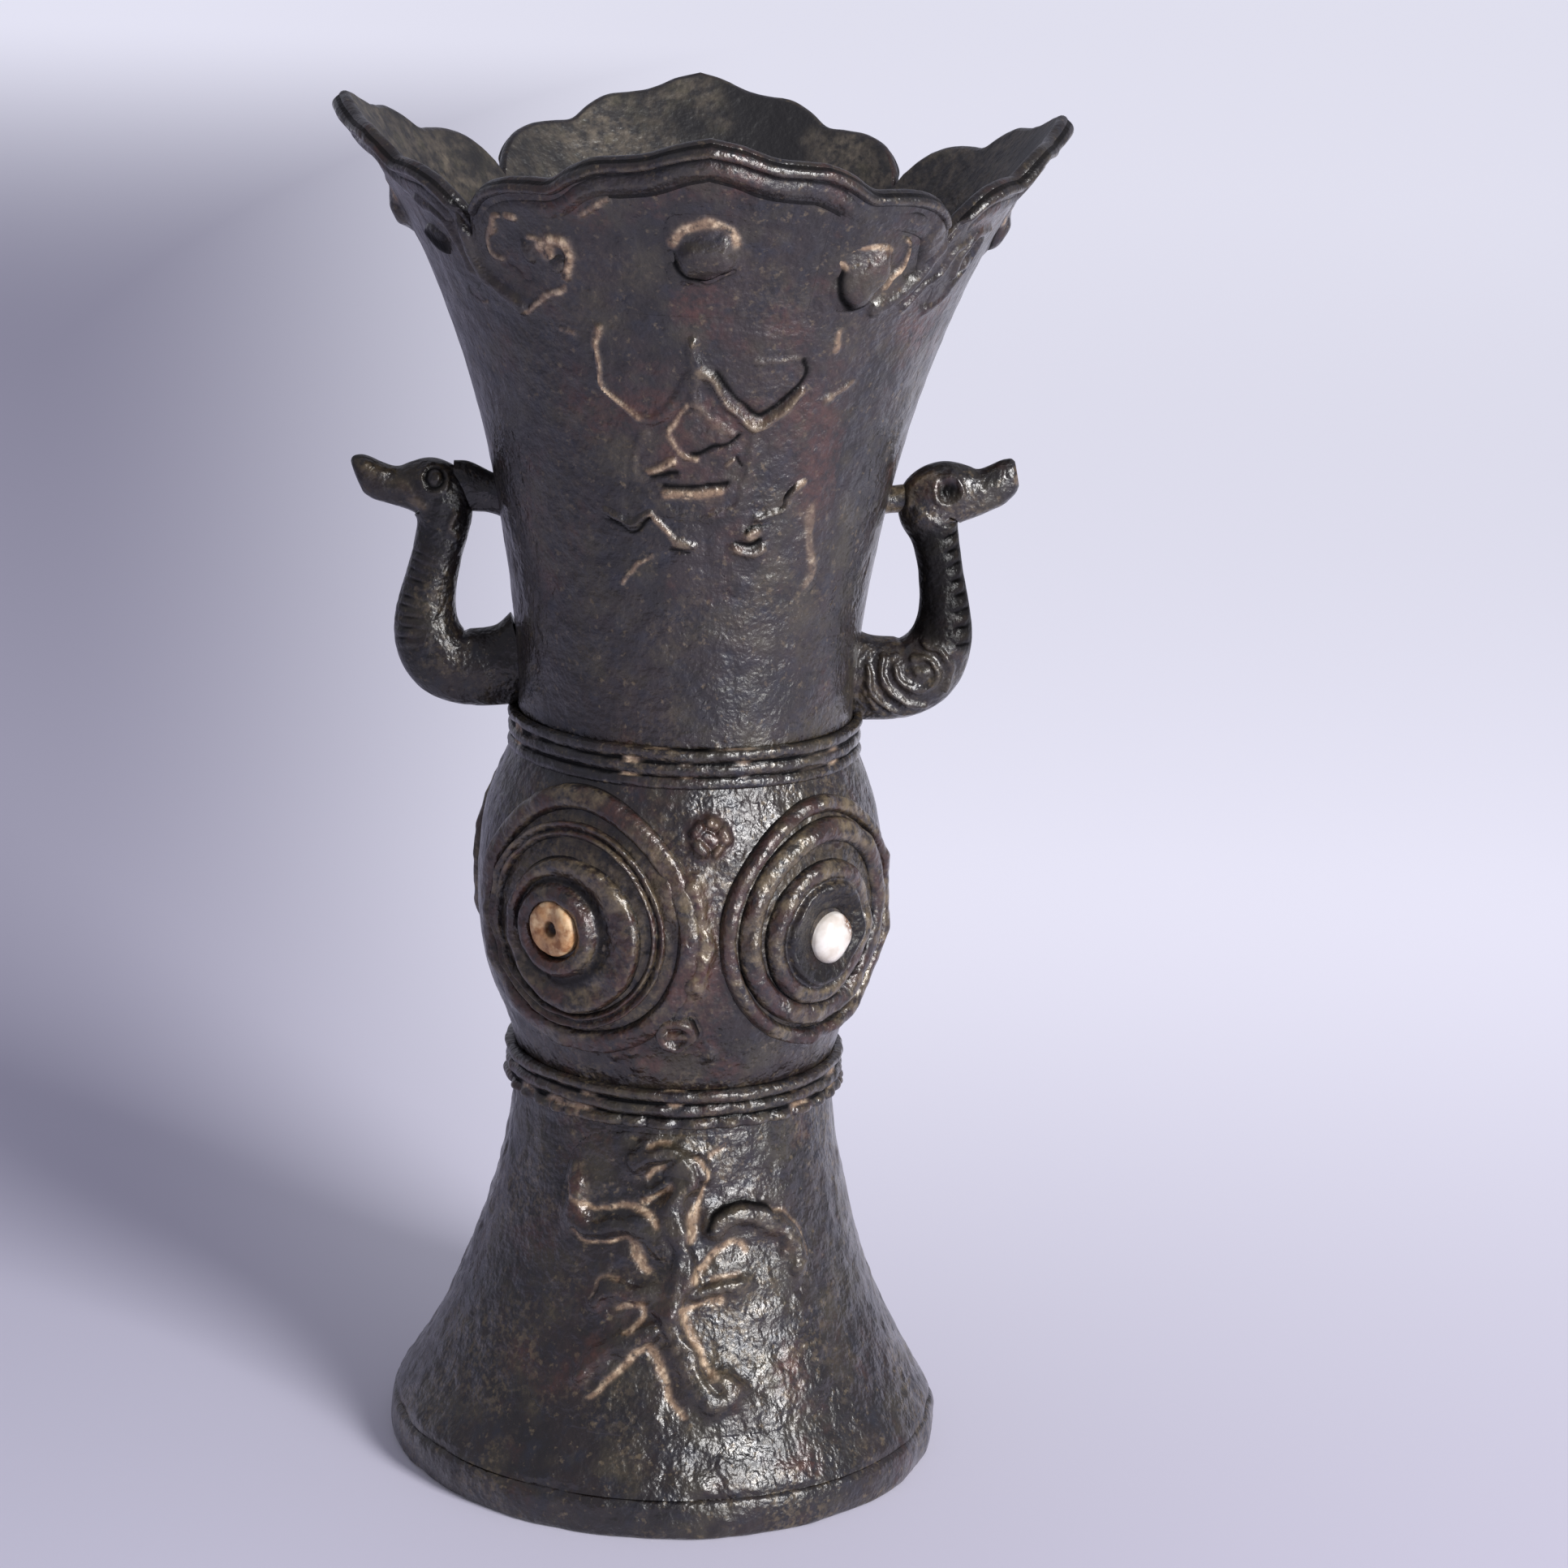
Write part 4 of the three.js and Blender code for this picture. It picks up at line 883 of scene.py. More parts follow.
def collar(name, node, neck_radius, bottom, bold, beading, seed):
    """A sleeve whose radius is its bore plus 0.85 mm and the largest of its cords, each a rounded ridge
    round a centre that wanders up and down, and swollen into beads by its share of beading. Its cords
    are as high as the collar is bold."""
    up = np.linspace(0, COLLAR_HEIGHT, 27)[:, None]
    round_place = np.stack([np.cos(collar_turns), np.sin(collar_turns), 0 * collar_turns], -1) * neck_radius
    height = 0
    for number, (centre, half, cord) in enumerate(CORDS):
        wander = centre + 0.45 * lumps(round_place, 11, seed + number)
        wander = wander + 0.15 * lumps(round_place, 3.5, seed + 5 + number)
        bead = np.abs(np.sin(BEADS / 2 * collar_turns + 2.5 * lumps(round_place, 9, seed + 10 + number)))
        beads = 1 + beading[number] * (1.4 * bead - 1)
        rounded = np.clip(1 - ((up - wander) / half) ** 2, 0, 1) ** 0.6
        height = np.maximum(height, bold * cord * beads * rounded)
    edge = ease(np.minimum(up, COLLAR_HEIGHT - up) / 0.35)
    bore = neck_radius + COLLAR_CLEARANCE
    radius = bore + 0.15 + edge * (0.7 + height)
    outside = round_axis(radius, collar_turns, bottom + up)
    outwards = outside * [1, 1, 0] / radius[..., None]
    outside = outside + outwards * (0.6 * edge[..., None]) * skin(outside, 1.0)[..., None]
    inside = circles([[bore, bottom + COLLAR_HEIGHT - 0.1], [bore, bottom + 0.1]], collar_turns)
    rows = np.concatenate([outside, inside])
    gaps = ease((0.35 - height) / 0.3)
    spots = ease(lumps(outside, 5.5, seed + 20) * 3 - 0.9)
    # Earth in spots between the beads, and painted shade in the rest of the gaps between the cords
    marks = {"earth": gaps * spots, "shade": gaps * (1 - spots), "rub": ease((height - 0.7) / 0.3) * 0.25}
    bare = np.zeros((2, len(collar_turns)))
    marks = {mark: np.concatenate([values, bare]) for mark, values in marks.items()}
    piece(name, hoop(rows), crusty_bronze, [node], marks)


collar("lower_collar_cords", "lower_collar", LOWER_NECK_RADIUS, 76, 0.95, (0.85, 0.4, 0.15), 50)
collar("upper_collar_cords", "upper_collar", UPPER_NECK_RADIUS, 144.5, 0.7, (0.2, 0.15, 0.3), 90)

# Edgings
# The real edging is a raised cord that follows each petal's waved edge on the outside, with a groove above
# it under the lip of the rim and another below it. It was cast with the beaker and is rubbed, and the khaki
# on the top of its cord is partly that wear and partly a painted highlight. Painted shade darkens its
# grooves.

# Drop below the edge and height of the edging, at the middle of a petal and at the lobes beside its corners
MIDDLE_EDGING = [
    [0.1, -0.9], [0.2, 0.5], [0.7, 1.2], [1.3, 1.1], [1.9, 0.3], [2.5, 0.1], [3.2, 0.6], [4, 1],
    [4.8, 0.8], [5.6, 0.35], [6.2, 0.1], [6.7, 0.05], [7.2, -0.9],
]
LOBE_EDGING = [
    [0.1, -0.9], [0.2, 0.5], [0.8, 1.1], [1.5, 0.8], [2, 0.1], [2.7, -0.1], [3.4, 0.3], [4.3, 0.6],
    [5.1, 0.6], [5.8, 0.5], [6.3, 0.3], [6.8, 0.1], [7.2, -0.9],
]


def edging(side, middle_turn, start, end):
    """A strip under the edge from corner to corner, whose places lie their drop down from it and square to
    the run of the edge, eased over 25 steps. Its profile changes from the middle's to the lobes'."""
    turns = np.linspace(start + 0.6, end - 0.6, 230)
    edge = np.stack([np.radians(turns - middle_turn) * PETAL_TIP_RADIUS, rim_height(turns) - TIP_HEIGHT], -1)
    window = np.hanning(25) / np.hanning(25).sum()
    slope = np.convolve(np.pad(np.gradient(edge[:, 1], edge[:, 0]), 12, mode="edge"), window, mode="valid")
    down = np.stack([slope, -np.ones_like(slope)], -1) / np.hypot(1, slope)[:, None]
    middle, lobe = (smooth_line(profile, 3).T[..., None] for profile in (MIDDLE_EDGING, LOBE_EDGING))
    drop, raised = middle + (lobe - middle) * ease((from_middle(turns) - 20) / 9)
    places = edge + drop[..., None] * down
    fade = ease(np.minimum(turns - start, end - turns) / 2.8)
    uneven = 1 + 0.3 * lumps(np.stack([places[..., 0], places[..., 1], 0 * drop], -1), 6, 66)
    lift = fade * (raised * uneven + DIP) - DIP
    # Khaki on the top of the cord, partly wear and partly a painted highlight, and painted shade in the low
    # parts of the strip
    marks = {"rub": 0.3 * ease((raised - 0.8) / 0.4), "shade": 0.8 * ease((0.4 - raised) / 0.3)}
    across, up = np.moveaxis(places, -1, 0)
    shape = laid_on(
        beaker_wall, middle_turn, TIP_HEIGHT, PETAL_TIP_RADIUS, across, up, lift, BEAKER_ROUGHNESS
    )
    piece(f"edging_{side}_cord", shape, smooth_bronze, [f"edging_{side}"], marks)


edging("front", 0, -48, 51)
edging("right", 90, 51, 135)
edging("back", 180, 135, 225)
edging("left", 270, 225, 312)

# Petal bosses
# The real boss is a low dome in the middle of each petal, cast with the beaker. A hollow runs round it,
# darkened with painted shade, and a crescent of tan earth lies over it.

DOME = [(-1.9, 0.3), (1.3, 0.4)]
# The moat's groove carries painted shade
MOAT = [(-6, 0.6), (-5.2, -2.4), (-2, -3.9), (2, -4.1), (5.2, -2.2)]
CRESCENT = [(-5.9, 2.6), (-4, 5), (-1.3, 6.3), (2, 6.4), (4.6, 5.2), (5.9, 2.8)]
PETAL_BOSS_HEIGHT = 248
PETAL_BOSS_RADIUS = 57.5
PETAL_BOSS = [(3.0, 2.0, 0, 0.1, DOME), (0.6, -0.4, 0, 0, MOAT), (0.8, 0.2, 0.9, 0.2, CRESCENT)]
for number, side in enumerate(("front", "right", "back", "left")):
    relief(
        f"petal_boss_{side}_dome", beaker_wall, 90 * number, PETAL_BOSS_HEIGHT, PETAL_BOSS_RADIUS,
        (-7.8, 7.8, -6, 8.4), 0.3, PETAL_BOSS, BEAKER_ROUGHNESS, "bronze_trim", f"petal_boss_{side}",
    )

# Corner scrolls and bosses
# The real scrolls curl down from each notch between two petals, with a boss beside them on either petal.
# They stand proud of the wall round deep pits, which are darkened with painted shade, and earth has stayed
# in their hooks.

CORNER_RADIUS = 58
CORNER_HEIGHT = 250
# The corner at the left of the front, and the one at its right, in mm across and up from 45 degrees
LEFT_SCROLL = [
    (1.2, 1.3, 0, 0.1, [(-3.4, 2), (-4.8, -3), (-4, -8), (0, -10.8), (5, -14.4)]),
    (0.6, 0.7, 0.9, 0, [(8.2, 3.5), (9.8, 3.2)]),
    (0.6, 0.7, 0.8, 0.3, [(6.6, 3.3), (5.4, 2.7), (4, 1.4), (2.6, 0.2)]),
    (0.5, 0.5, 0.5, 0.6, [(2.2, 0), (1.2, -1.8), (0.9, -3.8), (1.8, -4.8), (3.6, -5.3)]),
    (1.7, -0.9, 0, 0, [(6.2, -5.2), (8.3, -7)]),
    (1.0, 0.9, 0, 0.2, [(10.6, -2.6), (11, -3.7)]),
    (0.5, 0.6, 0.9, 0, [(11.8, -0.2), (13.4, -0.5)]),
    (1.4, 0.9, 1.0, 0.2, [(13.9, -1.2), (15.4, -1.4), (15.4, -2.8)]),
    (0.9, 0.9, 1.0, 0.2, [(15.5, -0.6), (18.4, -0.8), (19.7, -2.6), (19.4, -4.8), (18.2, -7.2)]),
    (0.45, 0.4, 0.8, 0, [(17.1, -9.1), (13.5, -10.7), (8.6, -13.3), (6.2, -15.1)]),
    (0.4, 0.3, 0.5, 0.2, [(23.7, 4.6), (26.2, 6.4)]),
    (0.4, 0.3, 0.6, 0, [(27, 6.9), (29.1, 8)]),
    (0.7, -0.6, 0, 0, [(-20, 6.6), (-15, 6.4), (-11.8, 3.6), (-7.9, 1)]),
    (0.9, 0.8, 0, 0, [(-17, 3.4), (-11, 1), (-8.6, -3), (-7.6, -8)]),
    (1.1, -0.6, 0, 0, [(-11.2, -13), (-8.1, -13.4), (-5.7, -12.3)]),
    (0.4, 0.2, 0.7, 0, [(-8.4, -14.6), (-6.4, -14.4)]),
]
RIGHT_SCROLL = [
    (1.2, 1.1, 0, 0.1, [(5.6, 1), (4.3, -1.4), (2.7, -4.8), (-0.2, -8.2), (-4.1, -10.6), (-8.4, -12.1)]),
    (2, 0.8, 0, 0.1, [(0.6, 3), (1.2, -1.6)]),
    (1.2, -0.9, 0, 0, [(-7, 4.2), (-5.3, 2.2), (-3.2, -0.6), (-2.1, -2.8), (-1.6, -5)]),
    (0.5, 0.8, 1.0, 0.1, [(-6, 1.1), (-4.6, -0.2), (-4.6, -2.7), (-4.9, -4.9), (-6.3, -6.1), (-7.1, -7.6)]),
    (1.3, -0.9, 0, 0, [(5.7, -10.2), (8, -11.2)]),
    (1.2, -0.9, 0, 0, [(16.5, -2.1), (16.1, -6)]),
    (0.8, 0.8, 0, 0.1, [(1, -12), (5, -8.4), (8.6, -6.4), (10.4, -2.6), (12.4, -0.8)]),
    (0.9, 0.9, 0, 0.1, [(14.2, -7), (14, -2.6), (16, 0.4), (20, 1.2)]),
    (1.0, 0.8, 0, 0, [(19.4, -1.4), (18.8, -6), (15.4, -9.4)]),
    (0.8, 0.6, 0, 0, [(9.6, -13.4), (13, -12.6), (16, -10.4)]),
]


def corner_scroll(name, node, azimuth, strokes):
    """Relief below the edging of a corner: its top row follows the rim 1.5 mm under the edge."""
    across = np.linspace(-24, 30, 135)[None]
    edge = rim_height(azimuth + np.degrees(across / CORNER_RADIUS)) - CORNER_HEIGHT
    low = -17
    share = np.linspace(0, 1, 76)[:, None]
    up = low + (edge - 1.5 - low) * share
    across, up = np.broadcast_arrays(across, up)
    depth = np.minimum(np.minimum(27 - np.abs(across - 3), up - low), (edge - 1.5 - up) * 1.5)
    lift, marks = carve(across, up, strokes)
    # Painted shade only in the pits, where the relief stands less than 0.4 mm
    marks["shade"] = marks["shade"] * (lift < 0.4)
    shape = laid_on(
        beaker_wall, azimuth, CORNER_HEIGHT, CORNER_RADIUS, across, up, bedded(lift, depth), BEAKER_ROUGHNESS
    )
    piece(name, shape, smooth_bronze, [node], marks)


# Painted shade darkens the moats round the drop and oval bosses
ROUND_BOSS = ((-1.2, 4.8, -3.8, 2), 0.3, [(1.4, 1.2, 0, 0.2, [(2, -0.9), (2.3, -1.2)])])
DROP_BOSS = ((-6.2, 7.4, -9.4, 5.8), 0.3, [
    (3.9, 2.4, 0, 0.1, [(1.3, -3.4), (2.5, -1.2)]),
    (0.7, -0.4, 0, 0, [(-4, -0.8), (-4, -2.5), (-2.4, -5.6), (1.2, -7.6), (5.4, -8)]),
    (0.6, 0.3, 1, 0, [(-4.8, 1.4), (-3.8, 0.4)]),
    (0.3, 0.2, 0.9, 0, [(-2.9, 3), (-0.4, 4.2), (3, 4.3), (5.4, 3.2)]),
])
# The second stroke paints shade over the oval boss's raised top
OVAL_BOSS = ((-10, 5.2, -5.6, 6), 0.3, [
    (2.4, 0.9, 0, 0, [(-4.6, 1), (0, -0.6)]),
    (1.7, -0.1, 0, 0, [(-4.6, 1), (0, -0.6)]),
    (1.1, -1.1, 0, 0, ring_line(-2.3, 0.2, 5.6, 3.8)),
])
CORNER_BOSS_HEIGHT = 246
CORNER_BOSS_RADIUS = 56
CORNER_BOSS_ACROSS = 14
# Each corner's azimuth puts its drawing on the notch there
CORNERS = [
    ("front_right", 45, RIGHT_SCROLL), ("right_back", 138, LEFT_SCROLL), ("back_left", 219, RIGHT_SCROLL),
    ("left_front", 315, LEFT_SCROLL),
]
for corner, azimuth, strokes in CORNERS:
    corner_scroll(f"scroll_{corner}_relief", f"scroll_{corner}", azimuth, strokes)
    first_boss = DROP_BOSS if strokes is RIGHT_SCROLL else OVAL_BOSS
    for number, way, boss in ((1, -1, first_boss), (2, 1, ROUND_BOSS)):
        boss_azimuth = azimuth + way * math.degrees(CORNER_BOSS_ACROSS / CORNER_BOSS_RADIUS)
        relief(
            f"corner_boss_{corner}_{number}_dome", beaker_wall, boss_azimuth, CORNER_BOSS_HEIGHT,
            CORNER_BOSS_RADIUS, *boss, BEAKER_ROUGHNESS, "bronze_trim", f"corner_boss_{corner}_{number}",
        )

# Mask and whiskers
# The real mask is a beast's face in thin raised lines on the front of the beaker: heart-shaped brows, a
# three-cornered nose, a mouth and a chin, with a curled whisker below on either side. Painted shade
# darkens the grooves beside its lines and whiskers.

MASK_HEIGHT = 215
MASK_RADIUS = 42
MASK = [
    (0.49, 0.7, 0.9, 0.2, [(-16, 18.5), (-17, 15), (-17, 11.5), (-17, 8.5), (-16, 6), (-13.5, 4), (-11, 2)]),
    (0.8, 0.6, 0, 0.1, [(-11, 2), (-7.5, 1.5), (-4, 5.5), (-1.5, 10.5)]),
    (0.6, 0.9, 0.15, 0.8, [(-0.5, 11.5), (2, 9.6), (4, 6), (6.5, 3.5), (9.5, 0.8), (11.5, 0.8),
        (14.5, 3.2), (17.5, 7.2)]),
    (0.55, -0.24, 0, 0, [(2.6, 10.8), (5.4, 7.2), (8.5, 4.4), (10.5, 2.9), (12.2, 3.6), (15, 6.4),
        (17.6, 9.6), (18, 11.5), (17, 13.5)]),
    (0.4, 0.35, 0, 0.2, [(9, 13.5), (13, 13.7), (17, 13.7)]),
    (0.8, 0.9, 0, 0.2, [(-1.5, 17), (-1, 11), (-1, 5)]),
    # A bump on the crest whose khaki rub paints a highlight on it
    (0.8, 1.3, 0, 1.0, [(-1.5, 17), (-1.4, 16.7)]),
    (0.49, 0.35, 0.8, 0, [(-2, 5), (-3.5, 2), (-5.5, -1), (-5, -2.5), (-3, -5), (-0.5, -5.5)]),
    (0.6, -0.24, 0, 0, [(-1, -4.5), (2.5, -3.5), (6, -2), (7, -0.5)]),
    (0.6, 0.5, 0.2, 0.2, [(-1, 5), (2.5, 1.5), (6, -0.5)]),
    (1.8, 0.5, 0, 0.1, [(-1.5, 2.5), (-1.5, -1.5), (3, -1.2)]),
    (0.57, 0.6, 0.8, 0.5, [(-9, -8.5), (-7, -7.5), (-4.5, -6.5)]),
    (0.4, -0.24, 0, 0, [(-8.5, -9.6), (-6, -8.8), (-4, -8.4)]),
    (0.78, 0.45, 1.0, 0, [(-5.5, -12.5), (-0.5, -12.5), (4.5, -12)]),
    (0.5, -0.24, 0, 0, [(-6, -10.9), (-0.5, -10.9), (6, -10.2)]),
    (0.7, 0.3, 0, 0.1, [(-7.5, 1.5), (-11, -3), (-12, -8), (-10.5, -11.5), (-5.5, -16), (1, -17.5),
        (7.5, -15), (9.5, -11), (10, -4.5), (10.5, 1)]),
    (0.41, 0.3, 0.8, 0.3, [(22.5, 18.5), (22.2, 15)]),
    (0.4, 0.25, 0.3, 0.4, [(23, 5.5), (28, 8.5)]),
    (0.8, 0.5, 0.2, 1.0, [(23.2, 5.6), (23.8, 5.8)]),
    (0.4, 0.25, 0.5, 0, [(-23, 17.5), (-21, 17)]),
    (0.6, -0.24, 0, 0, [(7.5, -5.2), (8.3, -6.8)]),
    (0.4, 0.35, 0.3, 0.5, [(5.5, -7), (7, -5.6)]),
]
LEFT_WHISKER = [
    (0.5, -0.24, 0, 0, [(-19, -18), (-14.5, -19.9), (-12, -20.2), (-9, -17.6)]),
    (0.7, 0.8, 0, 0.3, [(-18.6, -17), (-14.5, -18.6), (-11.6, -18.6), (-9.4, -16.6)]),
    (0.49, 0.7, 0.6, 0.4, [(-9, -17), (-6.5, -19), (-4, -22)]),
    (0.7, 0.7, 0.1, 0.6, [(-4, -22), (-2.4, -22.4), (0, -22.8)]),
    (0.35, -0.24, 0, 0, [(-5, -23.2), (-3, -23.4), (-1, -24)]),
    (0.37, 0.25, 0.6, 0, [(-15.5, -30.5), (-11.5, -26.5), (-9, -25)]),
]
RIGHT_WHISKER = [
    (0.49, 0.6, 0.6, 0.6, [(21.5, -10.6), (20.2, -11)]),
    (0.6, 0.8, 0, 0.3, [(20, -11.5), (18.8, -13), (18.4, -15.5), (16, -16.4), (12, -16.9)]),
    (0.5, -0.24, 0, 0, [(19.2, -10.6), (17.6, -13), (17, -15.2)]),
    (0.45, -0.24, 0, 0, [(16, -18), (12, -18.6), (10.5, -20)]),
    (1.1, 1, 0.5, 0.4, [(11.3, -20.7), (12, -20.2)]),
    (0.45, -0.24, 0, 0, [(8.5, -22), (11.5, -22.4), (14, -21.6)]),
    (0.7, 0.8, 0.1, 0.5, [(8.5, -23.4), (11.5, -24), (14.2, -23.4)]),
    (0.8, 0.2, 0.35, 0.2, [(24.5, -16.5), (25.5, -22.5), (27.5, -28), (26, -31)]),
]
MASK_REDS = [
    (3.2, [(-14, 3), (-6, 4), (-4, 0), (-4, -4)]), (5, [(20, 3), (24, -3), (25, -12)]),
    (2.4, [(2, 4), (5, 1)]),
]
MASK_PARTS = [
    ("mask", MASK, (-26, 30, -20.4, 22)),
    ("left_whisker", LEFT_WHISKER, (-22, 4, -33.5, -14.5)),
    ("right_whisker", RIGHT_WHISKER, (6, 31, -34, -7.5)),
]
for face, turned in FACES:
    for name, strokes, area in MASK_PARTS:
        relief(
            f"{face}_{name}_relief", beaker_wall, turned, MASK_HEIGHT, MASK_RADIUS, area, 0.4, strokes,
            BEAKER_ROUGHNESS, "bronze_trim", f"{face}_{name}", MASK_REDS,
        )

# Bird handles
# The real handles are two long-necked birds cast solid and joined to the wall at the tail. Their beaks
# turn up, and scales, ribs and a spiral wing are cut into them.

# Reach from the wall, height above the knop's top, half width in the bird's plane and half thickness, and
# the turn of the section in degrees
RIGHT_BIRD = [
    [-2, 11.4, 9.4, 5.6, 0], [2.7, 10.9, 8.5, 5.6, 0], [8.7, 11.1, 8.3, 5.8, 0], [13.2, 13.2, 7.6, 5.8, 0],
    [15.6, 18, 6.4, 5.5, 0], [15.7, 24, 5.2, 5, 0], [13.6, 32, 4.4, 4.3, 0], [10.9, 39.4, 4.6, 4.3, 0],
    [9, 43, 5.9, 4.8, 0], [9, 46.2, 7, 4.9, 0], [11.8, 48.3, 6.4, 4.6, 0], [15.4, 48.5, 5.2, 3.8, 0],
    [18, 48.9, 4.3, 3.2, 0], [20.1, 49.9, 4.1, 2.8, -8], [21.8, 51.2, 3.9, 2.4, -16],
    [23.1, 52, 3.4, 2, -18], [23.7, 52.4, 2.4, 1.3, -18],
]
LEFT_BIRD = [
    [-2, 12.9, 9.8, 5.6, 0], [2.7, 11.3, 8, 5.6, 0], [9.2, 10.6, 7.7, 5.8, 0], [14.6, 12.1, 7.3, 5.8, 0],
    [17.1, 17, 6.6, 5.5, 0], [16.8, 23, 5.7, 5, 0], [14.3, 31, 4.9, 4.6, 0], [11.9, 37.5, 5, 4.5, 0],
    [11, 41, 5.5, 4.7, 0], [11.3, 44.4, 6.4, 4.8, 0], [13.6, 46.3, 5.9, 4.6, 0], [16.6, 46.3, 4.7, 4, 0],
    [19.6, 46.3, 3.7, 3.5, 0], [22.4, 47, 3.7, 3.2, -10], [24.5, 48, 3.9, 2.9, -20],
    [26.2, 48.4, 3.6, 2.3, -20], [26.8, 48.4, 2.6, 1.5, -20],
]


# Lines cut into the sides of the birds, in mm out from the vase's axis and up
RIGHT_CUTS = [
    # The eye is a hole darkened with painted shade
    (1.9, -1.0, 0, 0, [(49.1, 197.9), (49.5, 197.9)]),
    (0.5, 0.4, 0, 0.1, ring_line(49.3, 197.9, 2.9, 2.9)),
    (0.6, 0.5, 0.1, 0.6, [(41.6, 194.6), (42.1, 197.8), (43.8, 200.1), (45.9, 200.9)]),
    (0.4, 0.3, 0, 0.1, [(43.3, 194.4), (45.2, 192.6), (47.8, 190.9), (51.1, 191.0)]),
    (0.9, 0.7, 0, 0.2, [(45.2, 161.8), (46.2, 161.8)]),
    (0.6, 0.9, 0, 0.25, [(44.2, 164.6), (46.8, 165), (48.6, 162.8), (48, 159.6), (45.2, 158.2),
        (42.2, 159.6), (40.8, 162.8)]),
    (0.55, 0.8, 0, 0.2, [(46.2, 167.6), (49.6, 166.2), (51.4, 162.6), (50.6, 158.2)]),
    (0.6, 0.9, 0, 0.3, [(38.2, 164.6), (37.9, 161.4), (39.6, 158), (43, 155.6), (47, 155)]),
    (0.6, 0.9, 0, 0.3, [(35.2, 163), (35.8, 158.4), (39.0, 155), (43.0, 152.8), (47.6, 152.6)]),
    (0.6, 0.6, 0, 0.2, [(35, 158), (37.4, 154), (41, 151.2)]),
    # Tan and khaki at the beak's tip, partly earth and partly a painted highlight
    (0.6, 0.4, 0.3, 0.6, [(62.6, 202), (62.8, 199.6)]),
]
LEFT_CUTS = [
    (0.9, 0.7, 0, 0.4, [(49.6, 197.2), (49.9, 197.2)]),
    # A groove round the eye, darkened with painted shade
    (0.4, -0.3, 0, 0, ring_line(49.7, 197.2, 1.8, 1.8)),
    (0.45, 0.35, 0, 0.3, ring_line(49.7, 197.2, 2.7, 2.7)),
    # Khaki on the beak paints a highlight there
    (1.3, 0.4, 0, 0.9, [(63.4, 199.2), (61.0, 197.9)]),
    (0.8, 0.3, 0.2, 0.8, [(56, 195.5), (53.5, 192.8), (51.8, 191.6)]),
    (0.5, 0.4, 0.1, 0.3, [(45.5, 190), (46.4, 187.6), (45.2, 185.6)]),
]


def evened(rows, reach):
    """Each row as the mean of those within its reach, weighted by a bell, which takes out folds in a bend."""
    window = np.hanning(2 * reach + 1) / np.hanning(2 * reach + 1).sum()
    padded = np.pad(rows, [(reach, reach)] + [(0, 0)] * (rows.ndim - 1), mode="edge")
    return sum(weight * padded[start : start + len(rows)] for start, weight in enumerate(window))


def bird(
    name, node, stations, side, cuts,
    spacing, rib_depth, rib_span, rib_turn, rib_reach, painted_rib_highlight, body_darkening, neck_darkening,
):
    """A row of ovals across the bird's centre line, lifted by its skin, by the cuts where a place faces
    sideways, and by ribs on the neck: a wave of that spacing in mm along the line, round a turn from the
    outside of the neck, over a reach to either side of it, both in degrees."""
    stations = np.array(stations, float)
    level = KNOP_TOP + stations[:, 1]
    drawn = np.column_stack([beaker_wall(level) + stations[:, 0], level, stations[:, 2:]])
    line = smooth_line(drawn, 18)
    x, z, wide, thick, lean = line.T[..., None]
    along = np.gradient(line[:, :2], axis=0)
    travelled = np.concatenate([[0], np.cumsum(np.hypot(*np.diff(line[:, :2], axis=0).T))])[:, None]
    along_turn = evened(np.arctan2(along[:, 1], along[:, 0])[:, None], 30) + np.radians(lean)
    along = np.stack([np.cos(along_turn), np.sin(along_turn)], 1)
    turns = turn_steps(96)[None]
    inwards, sideways = np.cos(turns), np.sin(turns)
    facing = np.stack(np.broadcast_arrays(inwards / wide, sideways / thick), -1)
    facing = facing / np.linalg.norm(facing, axis=-1, keepdims=True)
    bend = np.gradient(along_turn, axis=0) / np.gradient(travelled, axis=0)
    off_line = wide * inwards
    off_line = np.where(bend * off_line > 0.8, 0.8 / np.where(bend == 0, 1, bend), off_line)
    place_x = evened(x - along[:, 1] * off_line, 8)
    place_z = evened(z + along[:, 0] * off_line, 8)
    cut, marks = carve(place_x, place_z, cuts)
    flank = ease(np.abs(sideways) * 1.6 - 0.35) * np.ones_like(cut)
    on_neck = ease((travelled - rib_span[0]) / 4) * ease((rib_span[1] - travelled) / 4)
    from_outside = np.degrees(np.arccos(np.clip(-inwards, -1, 1)))
    outside = np.exp(-(((from_outside - rib_turn) / rib_reach) ** 2)) * on_neck
    waves = np.abs(np.sin(math.pi * travelled / spacing + 0.01 * (from_outside - rib_turn)))
    ribs = rib_depth * outside * (waves - 0.5)
    places = np.stack([place_x, thick * sideways * np.ones_like(cut), place_z], -1)
    lift = cut * flank + ribs + 0.8 * skin(places, 0.9)
    tapered = ease((travelled[-1] - travelled) / 2)
    lift = lift * tapered
    moved_x = places[..., 0] - along[:, 1] * facing[..., 0] * lift
    moved_z = places[..., 2] + along[:, 0] * facing[..., 0] * lift
    moved_y = places[..., 1] + facing[..., 1] * lift
    shape = capped(np.stack([side * moved_x, moved_y, moved_z], -1))
    marks = {mark: values * flank for mark, values in marks.items()}
    # Khaki on the crests of the ribs paints highlights on them, and painted shade darkens the troughs between
    # them
    marks["rub"] = np.maximum(marks["rub"], painted_rib_highlight * outside * ease(waves * 3 - 2))
    # Each bird is darkened all over, by one share on its body and another on its neck
    darkened = body_darkening + (neck_darkening - body_darkening) * on_neck
    marks["shade"] = np.maximum(marks["shade"], darkened + 0.6 * outside * ease(1 - waves * 3))
    piece(name, shape, crusty_bronze, [node], marks)


